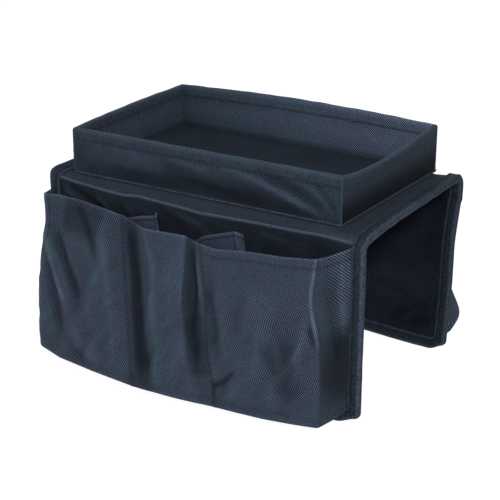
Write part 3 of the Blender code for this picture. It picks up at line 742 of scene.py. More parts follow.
# Piping round the tray's foot, and its four corner seams
pipeLow, pipeHigh = boxOf("tray_piping")
pipeLooks = {
    # tone and seamTone draw the piping and the corner seams paler, a painted highlight on their round edges
    "radius": 0.95, "corner": 3.0, "raised": 0.15, "tone": 1.45,
    "seamRadius": 0.85, "seamIn": 0.25, "seamTone": 1.15,
}
route = []
inset = pipeLooks["corner"] + pipeLooks["radius"]
for cornerX, cornerY, start in ((1, 0, -90), (1, 1, 0), (0, 1, 90), (0, 0, 180)):
    cx = pipeHigh[0] - inset + trayLooks["lean"] * cornerY if cornerX else pipeLow[0] + inset
    cy = pipeHigh[1] - inset if cornerY else pipeLow[1] + inset
    for a in np.radians(np.linspace(start, start + 90, 8)):
        x = cx + pipeLooks["corner"] * math.cos(a)
        y = cy + pipeLooks["corner"] * math.sin(a)
        route.append((x, y, pipeLooks["radius"] + pipeLooks["raised"]))
route.append(route[0])
route = alongPath(route, np.linspace(0, pathLength(route), 320))
piping = roundTrim("trayPiping", route, pipeLooks["radius"], bindingCloth, pipeLooks["tone"])
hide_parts("tray_piping")
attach(piping, "saddle")
seamNames = {"front": "front_left", "right": "front_right", "left": "rear_left", "rear": "rear_right"}
for side, name in seamNames.items():
    x, y = trayCorners[side][0]
    x += pipeLooks["seamIn"] * (1 if x < 0 else -1)
    y += pipeLooks["seamIn"] * (1 if y < 0 else -1)
    top = trayHigh[2] - 0.8 + trayLooks["cornerLift"][side][0]
    line = [(x, y, z) for z in np.linspace(trayLow[2] + 0.4, top, 60)]
    radius, tone = pipeLooks["seamRadius"], pipeLooks["seamTone"]
    seam = roundTrim(f"trayCornerSeam_{name}", line, radius, navyCloth, tone, ends=1.5)
    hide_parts(f"tray_{name}_seam")
    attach(seam, "saddle")

# Panels: each cloth, lining and board runs over half the saddle, round the fold and down one flap
print("saddle and flaps: cloths, boards and linings")
coverLow, coverHigh = boxOf("front_flap_cover")
panelLooks = {
    "middleFold": 1.8, "endFold": 11.0,     # outer radius of the fold, in the middle and at the tapes
    "leftRoundness": 0.2,                   # the left end is creased sharper
    "crease": 0.5, "creaseWidth": 0.8,      # how far the pressed edge of the fold stands out
    # how far the low edge hangs down towards its right corner and from where,
    # and how far the corner itself turns up and from where
    "lowCorner": {"front": (8.5, 60.0, 7.0, 138.0), "rear": (7.5, -20.0, 6.0, 144.0)},
    "lowReach": 70.0,                       # how far up from the foot that hanging starts
    "leftLift": 3.0,                        # the left tape stands up over the saddle's end
    "frontFace": float(coverLow[1]),        # where the front flap's outer face stands
    "bottom": float(coverLow[2]),
    "halfLength": float(coverHigh[0]),
    # below the fold; the rear board clears the tray's foot when the flap is raised
    "boardStart": {"front": 14.0, "rear": 20.0},
    "layers": {
        # how far under the cloth's face, thickness, how far short of the ends, columns and rows
        "cover": (0.0, 0.8, 0.0, 220, 240),
        "lining": (3.0, 0.8, 0.0, 120, 130),
        "seatBoard": (1.1, 1.6, 1.0, 60, 30),
        "flapBoard": (1.1, 1.6, 1.0, 60, 40),
    },
    "topRows": 2.1,             # threads drawn closer on the top, which is seen from low down
    # how far the front edge has sunk and come forward, along x
    "droopAt": (-160, -148, -135, -110, -90, -77, -60, -51, -16, 4, 38, 64, 102, 134, 150, 160),
    "droop": (0, 0, 0.2, 0.8, 1.8, 2.4, 0.4, 0.8, 2.2, 3.6, 2.6, 2.0, 2.0, 0.8, 0.4, 0),
    "swell": (0, 0.8, 2.0, 4.6, 5.0, 5.0, 5.2, 5.5, 6.0, 6.0, 6.0, 5.5, 5.0, 3.4, 1.2, 0),
    # the same for the rear edge, and how far the rear flap's left part bellies out
    "rearDroop": 2.0, "rearSwell": 3.0, "rearBelly": 3.0,
    # the long ends rise by the tray and sag at their corners, by these shares on the left and right
    "edgeArch": 1.6, "cornerSag": 2.6, "sagShares": {"front": (-0.8, 1.0), "rear": (0.2, -0.8)},
    # the rear flap's section, from its fold down: (y, z)
    "rearSection": [(98.5, 0.0), (98.0, -14.0), (94.5, -29.0), (87.0, -62.0), (85.5, -108.0), (79.5, -158.8)],
    # painted shade, how much darker the cloth is drawn: at the tray's foot, on the top, on its right end,
    # behind the mouths
    "footShade": 0.55, "topShade": 0.30, "endShade": 0.48, "mouthShade": 0.71,
    # the painted highlight on the fold's pressed edge
    "creaseHighlight": 0.8,
    # loose cloth behind the pocket mouths: points (x, distance below the fold), width, height, sharpness
    "looseFolds": [
        ([(-150, 4), (-130, 16), (-112, 34)], 4, 2, 0.4),
        ([(-128, 4), (-104, 18), (-88, 34)], 4, -1.9, 0.3),
        ([(-106, 6), (-94, 20), (-80, 38)], 4, 1.8, 0.3),
        ([(-84, 4), (-78, 16), (-66, 30)], 3, -1.5, 0.4),
        ([(-36, 3), (-24, 12), (-8, 22)], 3.5, -1.4, 0.3),
        ([(-20, 6), (6, 18), (16, 36)], 5, 1.6, 0.2),
        ([(34, 3), (52, 10), (74, 18)], 3, -1.3, 0.3),
        ([(60, 6), (92, 16), (120, 30)], 6, 1.7, 0.2),
        ([(98, 5), (126, 12), (146, 26)], 4, -1.4, 0.3),
    ],
    # painted highlights and painted shade on its loose folds: points (x, distance below the fold), width,
    # amount
    "looseMarks": [
        ([(-150, 4), (-132, 12), (-114, 22), (-96, 34)], 4, 0.45),
        ([(-140, 3), (-118, 10), (-98, 20)], 3, -0.35),
        ([(-106, 6), (-94, 20), (-80, 38)], 3.5, 0.35),
        ([(-84, 4), (-78, 16), (-66, 30)], 3, -0.35),
        ([(-20, 6), (6, 18), (16, 36)], 5, 0.3),
        ([(-40, 3), (-28, 12), (-12, 26)], 4, -0.35),
        ([(60, 8), (84, 16), (104, 26)], 6, 0.22),
        ([(20, 3), (60, 6), (110, 9)], 3, -0.2),
    ],
}
liningLooks = {
    # it hangs a little loose between the tapes, and at the rear flap's low right corner it is drawn together
    # points (x, distance from the saddle's middle), width, height, sharpness
    "folds": {
        "front": [
            ([(-90, 130), (-40, 190), (10, 240)], 12, 1.4, 0.1),
        ],
        "rear": [
            ([(146, 226), (118, 216), (86, 205)], 6, 1.8, 0.3),
            ([(147, 238), (128, 241), (100, 239)], 4, 1.6, 0.4),
            ([(140, 205), (122, 222), (96, 236)], 5, -1, 0.2),
            ([(60, 120), (96, 170), (128, 214)], 14, 1.2, 0.1),
        ],
    },
    # painted shade in its folds and painted light on it: points (x, distance from the saddle's middle),
    # width, amount
    "marks": {
        "front": [
            ([(-90, 130), (-40, 190), (10, 240)], 14, -0.2),
        ],
        "rear": [
            ([(138, 106), (142, 150), (140, 190)], 9, -0.3),
            ([(20, 214), (80, 210), (132, 200)], 17, 0.3),
            ([(146, 236), (134, 234), (124, 240)], 5, -0.75),
            ([(146, 222), (126, 228), (104, 238)], 3, -0.4),
            ([(70, 110), (100, 116), (138, 130)], 16, -0.2),
        ],
    },
}
outwardOf = {"front": -1, "rear": 1}


def foldedSection(sign, radius, drop):
    # (y, z) from the saddle's middle over the fold and down the flap, whose own line is drop
    start = abs(drop[0][0]) - radius
    flat = [(sign * y, 0.0) for y in np.linspace(0, start, 40)]
    turns = np.linspace(0, math.pi / 2, 16)[1:]
    bend = [(sign * (start + radius * math.sin(a)), radius * math.cos(a) - radius) for a in turns]
    straight = sign * (start + radius)
    below = [(straight if z > -radius - 14 else y, z) for y, z in drop if z < -radius - 1]
    return np.array(flat + bend + below)


drops = {
    "front": [(panelLooks["frontFace"], z) for z in np.linspace(0, panelLooks["bottom"], 60)],
    "rear": smoothThrough(panelLooks["rearSection"], 70),
}
sections = {}
for side, sign in outwardOf.items():
    radii = (panelLooks["middleFold"], panelLooks["endFold"])
    sections[side] = [foldedSection(sign, radius, drops[side]) for radius in radii]
panelLength = {side: pathLength(sections[side][0]) for side in sections}
# the fold's middle, as a distance from the saddle's middle
foldAt = abs(panelLooks["frontFace"]) - panelLooks["middleFold"] * (1 - math.pi / 4)


def panelPoints(side, x, s, creased=True):
    # outer face of the saddle and one flap: x across, s the distance from the saddle's middle
    total = panelLength[side]
    out = outwardOf[side]
    past = s - foldAt
    sharp, soft = (alongPath(path, s.ravel() * pathLength(path) / total).reshape(s.shape + (2,))
                   for path in sections[side])
    roundness = smoothStep(np.abs(x), 112.0, 150.0) * np.where(x < 0, panelLooks["leftRoundness"], 1.0)
    flat = sharp * (1 - roundness)[..., None] + soft * roundness[..., None]
    y, z = flat[..., 0].copy(), flat[..., 1].copy()

    # the saddle's ends
    top = 1 - smoothStep(past, -8, 26)
    arch, sag = panelLooks["edgeArch"], panelLooks["cornerSag"]
    sagLeft, sagRight = panelLooks["sagShares"][side]
    sunk = (arch + sag * np.where(x < 0, sagLeft, sagRight)) * np.clip(s / foldAt, 0, 1.4) ** 2.2
    z += smoothStep(np.abs(x), 128.0, 160.0) * top * (arch - sunk)
    z += panelLooks["leftLift"] * smoothStep(-x, 150.0, 160.0) * top

    # the pressed edge of the fold and the flap's low right corner
    pressed = panelLooks["crease"] * bell(past, 0, panelLooks["creaseWidth"])
    pressed = pressed * smoothStep(156 - np.abs(x), 0, 8)
    z += 0.7 * pressed
    y += 0.7 * pressed * out
    hang, hangFrom, turnedUp, turnFrom = panelLooks["lowCorner"][side]
    low = hang * smoothStep(x, hangFrom, turnFrom + 8) - turnedUp * smoothStep(x, turnFrom, 160.0)
    z -= low * smoothStep(s, total - panelLooks["lowReach"], total)

    # the long edge sinks and comes forward
    near = bell(np.clip(np.abs(past) - 2, 0, None), 0, 8.0)
    below = bell(np.clip(past - 2, 0, None), 0, 13.0) * smoothStep(past, -16, -1)
    if side == "front":
        z -= np.interp(x, panelLooks["droopAt"], panelLooks["droop"]) * near
        y -= np.interp(x, panelLooks["droopAt"], panelLooks["swell"]) * below
        if creased:
            loose = smoothStep(past, 4, 14) * (1 - smoothStep(past, 40, 60))
            loose = loose * smoothStep(152 - np.abs(x), 0, 14)
            give = wrinkles(x, past, 34.0, 11, 0.5, 0.9) * 0.6 + 1.4
            y -= loose * np.maximum(give + foldHeight(x, past, panelLooks["looseFolds"]), -0.1)
    else:
        free = smoothStep(150 - np.abs(x), 0, 30)
        z -= panelLooks["rearDroop"] * near * free
        y += panelLooks["rearSwell"] * below * free
        belly = np.sin(np.clip(past / (total - foldAt), 0, 1) * math.pi)
        y += panelLooks["rearBelly"] * smoothStep(-x, -100, 160) * belly
    return np.stack([x, y, z], axis=-1)


def panelAt(side, x, s):
    # a point of the panel without its creases and the way its face looks, by small steps
    step = 0.5
    down = panelPoints(side, x, s + step, False) - panelPoints(side, x, s - step, False)
    across = panelPoints(side, x + step, s, False) - panelPoints(side, x - step, s, False)
    normal = np.cross(down, across) * -outwardOf[side]
    return panelPoints(side, x, s, False), normal / np.linalg.norm(normal, axis=-1, keepdims=True)


def closeAtFold(first, last, rows):
    # rows lie closer together round the fold
    even = np.linspace(first, last, 2000)
    weight = np.cumsum(1 + 7 * bell(even, foldAt, 5.0))
    return np.interp(np.linspace(weight[0], weight[-1], rows), weight, even)


def coverTone(side, x, s):
    # a painted highlight on the pressed edge of the fold; painted shade round the tray's foot, on the top, on
    # its right end and behind the mouths
    past = s - foldAt
    y = s * outwardOf[side]
    tone = 1 + panelLooks["creaseHighlight"] * bell(past, -0.2, 0.8) * smoothStep(152 - np.abs(x), 0, 6)
    right = pipeHigh[0] + trayLooks["lean"] * np.clip((y - pipeLow[1]) / (pipeHigh[1] - pipeLow[1]), 0, 1)
    off = np.maximum.reduce([pipeLow[0] - x, x - right, pipeLow[1] - y, y - pipeHigh[1]])
    tone = tone * (1 - panelLooks["footShade"] * bell(off, -0.2, 1.3))
    tone = tone * (1 - panelLooks["endShade"] * smoothStep(x, 112.0, 134.0) * (1 - smoothStep(past, -12, 0)))
    if side == "front":
        top = (1 - smoothStep(past, -3, -1)) * (1 - smoothStep(x, 100.0, 130.0))
        tone = tone * (1 - panelLooks["topShade"] * top)
        tone = tone * (1 - panelLooks["mouthShade"] * smoothStep(past, 0.7, 2.6))
        tone = tone * drawnTone(x, past, panelLooks["looseMarks"])
    return tone


def liningSlack(side, x, s):
    free = smoothStep(149 - np.abs(x), 0, 12) * smoothStep(panelLength[side] - s, 9, 16)
    give = 0.6 + 0.5 * wrinkles(x, s, 52.0, 51) + foldHeight(x, s, liningLooks["folds"][side])
    return free * smoothStep(s - foldAt, 4, 30) * np.maximum(give, 0.0)


def liningTone(side, x, s):
    # random unevenness, times the painted shade and painted light drawn on the lining
    uneven = 1 + 0.10 * wrinkles(x, s, 44.0, 52) + 0.06 * wrinkles(x, s, 13.0, 53)
    return drawnTone(x, s, liningLooks["marks"][side]) * uneven


def panelLayer(name, side, layer, first, last, material):
    depth, thick, inset, columns, rows = panelLooks["layers"][layer]
    half = panelLooks["halfLength"] - inset
    x = np.linspace(-half, half, columns)[None, :] + np.zeros((rows, 1))
    s = closeAtFold(first, last, rows)[:, None] + np.zeros((1, columns))
    grid = panelPoints(side, x, s, layer == "cover")
    if layer == "lining":
        depth = depth + liningSlack(side, x, s)[..., None]
    grid = grid + facing(grid) * outwardOf[side] * depth
    uv = np.stack([x, np.where(s < foldAt, foldAt + (s - foldAt) * panelLooks["topRows"], s)], axis=-1)
    tone = 1.0
    if layer in ("cover", "lining"):
        painted = coverTone(side, x, s) if layer == "cover" else liningTone(side, x, s)
        tone = painted * wearAndFoldShade(grid, -outwardOf[side])
    return clothPiece(name, grid, material, thick, uv, side != "front", tone)


def bendWith(piece):
    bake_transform(piece)


for side, length in panelLength.items():
    cover = panelLayer(f"{side}Cloth", side, "cover", 0.0, length, navyCloth)
    lining = panelLayer(f"{side}Lining", side, "lining", 0.0, length, liningCloth)
    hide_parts("saddle_cover", f"{side}_fold", f"{side}_flap_cover")
    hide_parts("saddle_lining", f"{side}_flap_lining")
    for piece in (cover, lining):
        bendWith(piece)
    seatBoard = panelLayer(f"saddleBoard_{side}", side, "seatBoard", 0.0, foldAt - 12, boardStuff)
    boardStart = foldAt + panelLooks["boardStart"][side]
    flapBoard = panelLayer(f"{side}FlapBoard", side, "flapBoard", boardStart, length - 1.0, boardStuff)
    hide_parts("saddle_board")
    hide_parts(f"{side}_flap_board")
    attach(seatBoard, "saddle")
    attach(flapBoard, f"{side}_flap")

# Binding tapes
print("tapes: one round each flap, up over the fold")
tapeLooks = {
    "width": 10.0, "thick": 0.85, "corner": 3.2, "stitchIn": 7.6,
    "proud": 1.1, "under": 4.2,         # how far it stands over the cloth's face and below it
    "below": 1.1,                       # how far it stands past the cloth's low edge
    "edge": float(boxOf("front_flap_tape")[1][0]),
    "step": 1.6,                        # along the tape
    "ripple": 0.22,
    # painted shade: the rear flap's tape is drawn darker than the front one's
    "tones": {"front": 0.95, "rear": 0.7},
}


def tapeTrack(length):
    # points (x, s) on the panel's edge, each with the way into the panel
    edge, corner, step = tapeLooks["edge"], tapeLooks["corner"], tapeLooks["step"]
    bottom = length + tapeLooks["below"]
    bends = np.linspace(0, math.pi / 2, 7)
    track = [(edge, s, -1.0, 0.0) for s in np.arange(0.0, bottom - corner, step)]
    for a in bends:
        x, s = edge - corner + corner * math.cos(a), bottom - corner + corner * math.sin(a)
        track.append((x, s, -math.cos(a), -math.sin(a)))
    track += [(x, bottom, 0.0, -1.0) for x in np.arange(edge - corner - step, corner - edge, -step)]
    for a in bends:
        x, s = corner - edge - corner * math.sin(a), bottom - corner + corner * math.cos(a)
        track.append((x, s, math.sin(a), -math.cos(a)))
    track += [(-edge, s, 1.0, 0.0) for s in np.arange(bottom - corner - step, 0.0, -step)]
    return np.array(track + [(-edge, 0.0, 1.0, 0.0)])


def tapeSection():
    # (distance in from the edge, height over the cloth's face), round the edge from one side to the other
    w, up, down = tapeLooks["width"], tapeLooks["proud"], -tapeLooks["under"]
    outer = [(w, up - 0.8), (w - 0.1, up - 0.1), (w - 0.5, up + 0.3), (w - 1.1, up + 0.15),
             (w - 1.8, up - 0.05), (w - 2.4, up - 0.3), (w - 3.0, up - 0.05), (w - 4.2, up + 0.1),
             (w - 6.0, up + 0.05), (2.9, up - 0.1), (2.2, up + 0.2), (1.7, up + 0.35), (1.2, up + 0.25)]
    centre, half = (up + down) / 2, (up - down) / 2 + 0.25
    turns = np.linspace(math.pi / 2, -math.pi / 2, 11)[1:-1]
    turn = [(1.2 - 1.2 * math.cos(a), centre + half * math.sin(a)) for a in turns]
    inner = [(a, centre * 2 - b) for a, b in reversed(outer)]
    return np.array(outer + turn + inner)


def tapeTone(section):
    # both edges of the tape get painted highlights, and its seam gets painted shade
    a = section[:, 0]
    tone = 0.78 + 1.0 * bell(a, 0.8, 1.3) + 0.6 * bell(a, tapeLooks["width"] - 0.5, 0.6)
    return (tone - 0.42 * bell(a, tapeLooks["stitchIn"], 0.7))[:, None]


def reachIn(track, a):
    # moves in from the edge by a, keeping the corner mitred where the corner is tighter than the tape
    edge = tapeLooks["edge"]
    x, s, inX, inS = track.T
    movedX, movedS = x + inX * a, s + inS * a
    low = s.max() - a
    if a > tapeLooks["corner"]:
        bend = (np.abs(inX) > 1e-6) & (np.abs(inS) > 1e-6)
        movedX = np.where(bend, np.sign(x) * (edge - a), movedX)
        movedS = np.where(bend, low, movedS)
    # nothing on the long side passes the mitre
    movedS = np.where(np.abs(inS) < 1e-6, np.minimum(movedS, low), movedS)
    movedX = np.where(np.abs(inX) < 1e-6, np.clip(movedX, -edge + a, edge - a), movedX)
    return movedX, np.maximum(movedS, 0.0)


for side, length in panelLength.items():
    track = tapeTrack(length)
    section = tapeSection()
    rows = []
    for a, b in section:
        point, away = panelAt(side, *reachIn(track, a))
        ripple = tapeLooks["ripple"] * wrinkles(track[:, 0] + 3 * a, track[:, 1], 19.0, 5) * np.sign(b + 1.9)
        rows.append(point + away * (b + ripple)[:, None])
    grid = np.array(rows)
    uv = np.stack(np.broadcast_arrays(passedBy(track[:, :2])[None, :], passedBy(section)[:, None]), axis=-1)
    tone = tapeTone(section) * tapeLooks["tones"][side]
    tape = clothPiece(f"{side}BindingTape", grid, bindingCloth, tapeLooks["thick"], uv, side != "front", tone)
    point, away = panelAt(side, *reachIn(track, tapeLooks["stitchIn"]))
    lines = [point + away * level for level in (tapeLooks["proud"] + 0.05, -tapeLooks["under"] - 0.05)]
    thread = sewLines(f"{side}TapeStitches", lines)
    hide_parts(f"{side}_flap_tape", "saddle_left_tape", "saddle_right_tape")
    for piece in (tape, thread):
        bendWith(piece)

# Front pockets: one cloth, sewn down twice and gathered at the foot
print("front pockets: one gathered cloth")
pocketLooks = {
    "clothThick": 0.8, "columns": 280, "rows": 120, "softness": 1.7,
    "height": 143.0,            # from the hem down to the foot, along the cloth
    "hemDepth": 8.0, "hemWidth": 1.1,
    "footRows": 16, "footSag": 1.6, "footZ": -156.6,
    "seamDepth": 1.1, "seamWidth": 1.6,
    "creaseLength": (66.0, 76.0),           # where the right pocket's crease fades out, down from the hem
    "edgeLength": (36.0, 48.0),             # and the stitched edge at its left end
    "tone": 1.02,
    # each line runs from the hem down to the foot: (x, depth in front of the flap, z)
    "lines": {
        "leftSeam": [(-159.5, 0.4, -13), (-159.5, 0.4, -43), (-159.5, 0.4, -77), (-159.5, 0.4, -118),
            (-158.5, 0.4, -156.5)],
        "leftEdge": [(-159.9, 12, -14.7), (-156.1, 17, -42.8), (-157.6, 23, -77.3), (-157.4, 29, -118),
            (-157.4, 31, -158.8)],
        "leftA": [(-139.6, 13.5, -11.5), (-138.1, 21, -52.5), (-135.6, 30, -97.8), (-132.5, 36, -129.6),
            (-125.3, 44.1, -158.3)],
        "leftB": [(-114.6, 14, -12.5), (-104.9, 26, -50.1), (-93.1, 38, -91.5), (-84, 46, -124.2),
            (-79.3, 53.9, -157.3)],
        "leftC": [(-94.1, 12, -15.9), (-81, 27, -51.5), (-68.9, 41, -91.7), (-60.2, 50, -124.8),
            (-53.8, 57.2, -157.3)],
        "seamOne": [(-76.8, 6, -21.5), (-67.4, 17, -60.6), (-54.5, 32, -98.4), (-43.9, 45, -129.6),
            (-31.9, 60, -157.3)],
        "valleyOne": [(-69.6, 5.5, -24), (-60, 16, -62.2), (-47.1, 31, -100), (-34.8, 45, -129.3),
            (-21.4, 60.4, -157.3)],
        "ridgeOne": [(-44, 22, -22.4), (-24.2, 40, -49.5), (-19.4, 47, -75.7), (-8.5, 58, -117.7),
            (-5.9, 59.9, -157.3)],
        "middleA": [(-21.7, 21, -22), (-5.1, 40, -51.9), (3.8, 51, -89.4), (9, 58, -122.8),
            (10.7, 59.8, -157.3)],
        "ridgeTwo": [(-1.7, 20, -21.6), (6.4, 31, -40.6), (12, 43, -70.1), (19.8, 54, -110.5),
            (29.3, 58.3, -157.3)],
        "valleyTwo": [(0.3, 13, -26.6), (6.9, 21, -46.5), (13.1, 30, -74.5), (24.4, 44, -113.3),
            (38.6, 57, -157.3)],
        "seamTwo": [(13.1, 20, -25.9), (27.1, 35, -60.4), (35.7, 44, -96.6), (44.7, 52, -131.3),
            (51.1, 55.8, -157.3)],
        "rightA": [(30.9, 22, -26.7), (44.6, 39, -55.1), (54.9, 49, -90.1), (62.6, 55, -122.7),
            (65.6, 53.4, -158.3)],
        "rightB": [(65.5, 22, -22.3), (80, 41, -51.1), (88, 49, -82.3), (93.6, 53, -118.4),
            (94.7, 49.3, -159.5)],
        "rightC": [(96.7, 23, -20), (108.4, 39, -50), (115.2, 45, -81.8), (120.4, 48, -120),
            (119.4, 43.5, -160.2)],
        "crease": [(129.5, 25, -14.8), (132, 38, -47.7), (140.9, 41, -79.8), (146.1, 42, -115.9),
            (142, 37.9, -160.2)],
        "gussetValley": [(135, 13, -15), (135.3, 17, -47.4), (143.4, 18, -85.4), (149.2, 18, -122.3),
            (146.7, 20.2, -158.6)],
        "gussetRidge": [(143.6, 7, -11.3), (145.1, 9.5, -45.2), (149.4, 10, -84.3), (151.1, 9, -125.5),
            (147.7, 7.8, -157.3)],
        "rightSeam": [(149.3, 0.6, -9.3), (150.3, 0.6, -45.3), (150.3, 0.6, -85.7), (150.3, 0.6, -127.2),
            (148.3, 0.6, -156.8)],
    },
    "sewn": ("seamOne", "seamTwo"),
    # folds: points (x, z) on the front of the cloth, width, height, sharpness
    "folds": [
        ([(-156, -46), (-140, -79.6), (-121, -110)], 3.8, 3.8, 0.5),
        ([(-144, -40), (-124, -76.1), (-106, -102)], 5.5, -4.6, 0.4),
        ([(-119, -16), (-104, -37.8), (-90, -62)], 4, -3.4, 0.4),
        ([(-108, -14), (-92, -36), (-80, -60)], 5, 1.6, 0.2),
        ([(-148.2, -70), (-139.4, -104.6), (-126, -138)], 6, -3, 0.3),
        ([(-122, -108), (-98.5, -134), (-66, -150)], 8, 2.6, 0.1),
        ([(-126, -130), (-106, -146), (-80, -154)], 4.5, -2, 0.3),
        ([(-62, -30), (-49, -64), (-36, -104), (-20, -150)], 5.5, -2.6, 0.1),
        ([(-36, -26), (-17.3, -44.5), (-12, -72)], 5, -1.8, 0.2),
        ([(12, -36), (20.1, -53.8), (25.6, -74)], 3.6, 2.2, 0.2),
        ([(3, -30), (11.7, -55), (15.5, -73.4), (20.8, -94.5)], 4.2, -2.6, 0.4),
        ([(43, -142), (57.3, -132.4), (72, -116)], 3, -2.8, 0.7),
        ([(50, -150), (66, -140), (80, -124)], 4, 1.8, 0.2),
        ([(29.5, -50), (41.5, -82), (49, -114)], 5.5, -2.6, 0.2),
        ([(108, -76), (115, -104), (121, -142)], 7, -3, 0.2),
        ([(90, -88), (104, -110), (112, -136)], 6, -1.8, 0.2),
        ([(129.6, -14), (131.9, -45.1), (134.6, -54.7), (141, -84)], 1.6, 1.7, 0.9),
        ([(131, -56), (134.5, -72), (139.5, -88)], 2.2, -2.4, 0.7),
        ([(134, -58), (126.8, -84), (112, -118)], 5, 2.2, 0.4),
        ([(137, -80), (131, -104), (122, -134)], 5, -2, 0.3),
        ([(60, -40), (84, -58), (108, -70)], 9, 1.6, 0),
        ([(52, -74), (80, -92), (100, -98)], 9, -1.4, 0),
    ],
    # painted shade in the pockets' folds, pleats and foot, and painted highlights on their ridges: points (x,
    # z), width, amount
    "marks": [
        ([(-66, -20), (-56.5, -47), (-50.3, -64), (-42.4, -88), (-34.5, -112), (-26, -134),
            (-18, -153)], 10.5, -1.28),
        ([(-119, -15), (-104, -37.8), (-91, -58)], 4.5, -0.35),
        ([(-137, -26), (-112, -28), (-88, -32)], 15, -0.62),
        ([(-145, -44), (-123, -76.1), (-106, -101)], 6, -0.6),
        ([(-149, -66), (-139.4, -104.6), (-127, -136)], 7, -0.35),
        ([(1, -27), (8.4, -42.4), (12.2, -55), (16, -73.4), (21.3, -94.5), (31, -127.1)], 3.4, -0.45),
        ([(18, -80), (28.8, -106.8), (36, -136)], 9, -0.55),
        ([(30.8, -56), (40.5, -82.6), (47, -108)], 6, -0.4),
        ([(113, -80), (117.7, -107.4), (121, -138)], 8, -0.38),
        ([(93.2, -90.4), (107.2, -113.4), (115, -134)], 6, -0.25),
        ([(139.5, -20), (140.5, -50.4), (146.3, -85), (151.4, -140)], 3.5, -0.4),
        ([(141, -14), (144, -50.4), (148, -80)], 9, 0.22),
        ([(147.7, -78.8), (151.1, -146)], 4.5, -0.45),
        ([(133.5, -68), (138.6, -84)], 2.5, -0.6),
        ([(45.3, -140), (57.3, -133), (70, -118)], 2.6, -0.55),
        ([(49.9, -151), (47.3, -134)], 2.4, -0.45),
        ([(-155, -46), (-141, -79.6), (-120, -108)], 3.4, 0.26),
        ([(-121.9, -115), (-98.5, -134.2), (-66, -147)], 7, 0.1),
        ([(14, -37.9), (21.1, -53.8), (25.6, -70)], 3, 0.18),
        ([(129.6, -14), (131.9, -45.1), (134.6, -54.7), (139, -79)], 1.2, 0.25),
        ([(-150, -152), (-90, -154), (-20, -155), (70, -155), (142, -155)], 8, -0.28),
        ([(147, -70), (149.5, -110), (149, -152)], 5, -0.38),
    ],
}


def loftCloth(lines, rows, columns, softAcross):
    # a cloth through the given lines, row by row; places are where the lines lie across it
    shaped = np.array([smoothThrough(line, rows) for line in lines])
    gaps = np.linalg.norm(np.diff(shaped, axis=0), axis=2).mean(axis=1)
    places = np.concatenate([[0], np.cumsum(gaps)])
    wanted = np.linspace(0, places[-1], columns)
    grid = np.zeros((rows, columns, 3))
    for row in range(rows):
        for i in range(3):
            grid[row, :, i] = np.interp(wanted, places, shaped[:, row, i])
    step = places[-1] / (columns - 1)
    return soften(grid, softAcross / step, 1), places / step


def addFoot(grid, footRows, seamLine, low):
    # the cloth turns under at the foot and runs back to the flap
    share = np.linspace(0, 1, footRows + 1)[1:, None, None]
    foot = grid[-1] * (1 - share) + seamLine * share
    foot[..., 2] -= low * np.sin(np.clip(share[..., 0] * 1.6, 0, 1) * math.pi)
    joined = np.concatenate([grid, foot])
    keep = smoothStep(np.arange(len(joined)), len(grid) - 12, len(grid) - 3)[:, None, None]
    return joined * (1 - keep) + soften(joined, 1.6, 0) * keep


frontFace = panelLooks["frontFace"]
pocketRows, pocketColumns = pocketLooks["rows"], pocketLooks["columns"]
footRows, hemDepth = pocketLooks["footRows"], pocketLooks["hemDepth"]
pocketLines = []
for line in pocketLooks["lines"].values():
    pocketLines.append([(x, frontFace - 0.3 - depth, z) for x, depth, z in line])
pocketGrid, places = loftCloth(pocketLines, pocketRows, pocketColumns, pocketLooks["softness"])
columnOf = dict(zip(pocketLooks["lines"], places))
seamColumns = [columnOf[name] for name in pocketLooks["sewn"]]
columnAt = np.arange(pocketColumns)[None, :]
x, z = pocketGrid[..., 0], pocketGrid[..., 2]
share = np.linspace(0, 1, pocketRows)[:, None]
down = share * pocketLooks["height"]
height = foldHeight(x, z, pocketLooks["folds"])
height = height + 1.2 * wrinkles(x, z * 0.55, 42.0, 21, -0.5, 1.3) * smoothStep(share, 0.06, 0.4)
height = height + 0.45 * wrinkles(x, z, 17.0, 22, -0.4, 2.0) * smoothStep(share, 0.1, 0.5)
# the hem's seam shows on the right pocket
hemSeen = 0.2 + 0.8 * smoothStep(columnAt, columnOf["seamTwo"] - 2, columnOf["seamTwo"] + 5)
height = height + 0.3 * (1 - smoothStep(down - hemDepth, -0.8, 0.8))
height = height - 0.4 * hemSeen * bell(down, hemDepth, pocketLooks["hemWidth"])
for column in seamColumns:
    height = height - pocketLooks["seamDepth"] * bell(columnAt, column, pocketLooks["seamWidth"])
free = smoothStep(frontFace - pocketGrid[..., 1], 2.0, 10.0) * (1 - smoothStep(share, 0.9, 1.0))
pocketGrid = pocketGrid + facing(pocketGrid) * (height * free)[..., None]
footLine = np.zeros((pocketColumns, 3))
footLine[:, 0] = np.linspace(pocketGrid[-1, 0, 0], pocketGrid[-1, -1, 0], pocketColumns)
footLine[:, 1] = frontFace - 0.7
footLine[:, 2] = pocketLooks["footZ"]
pocketWhole = addFoot(pocketGrid, footRows, footLine, pocketLooks["footSag"])

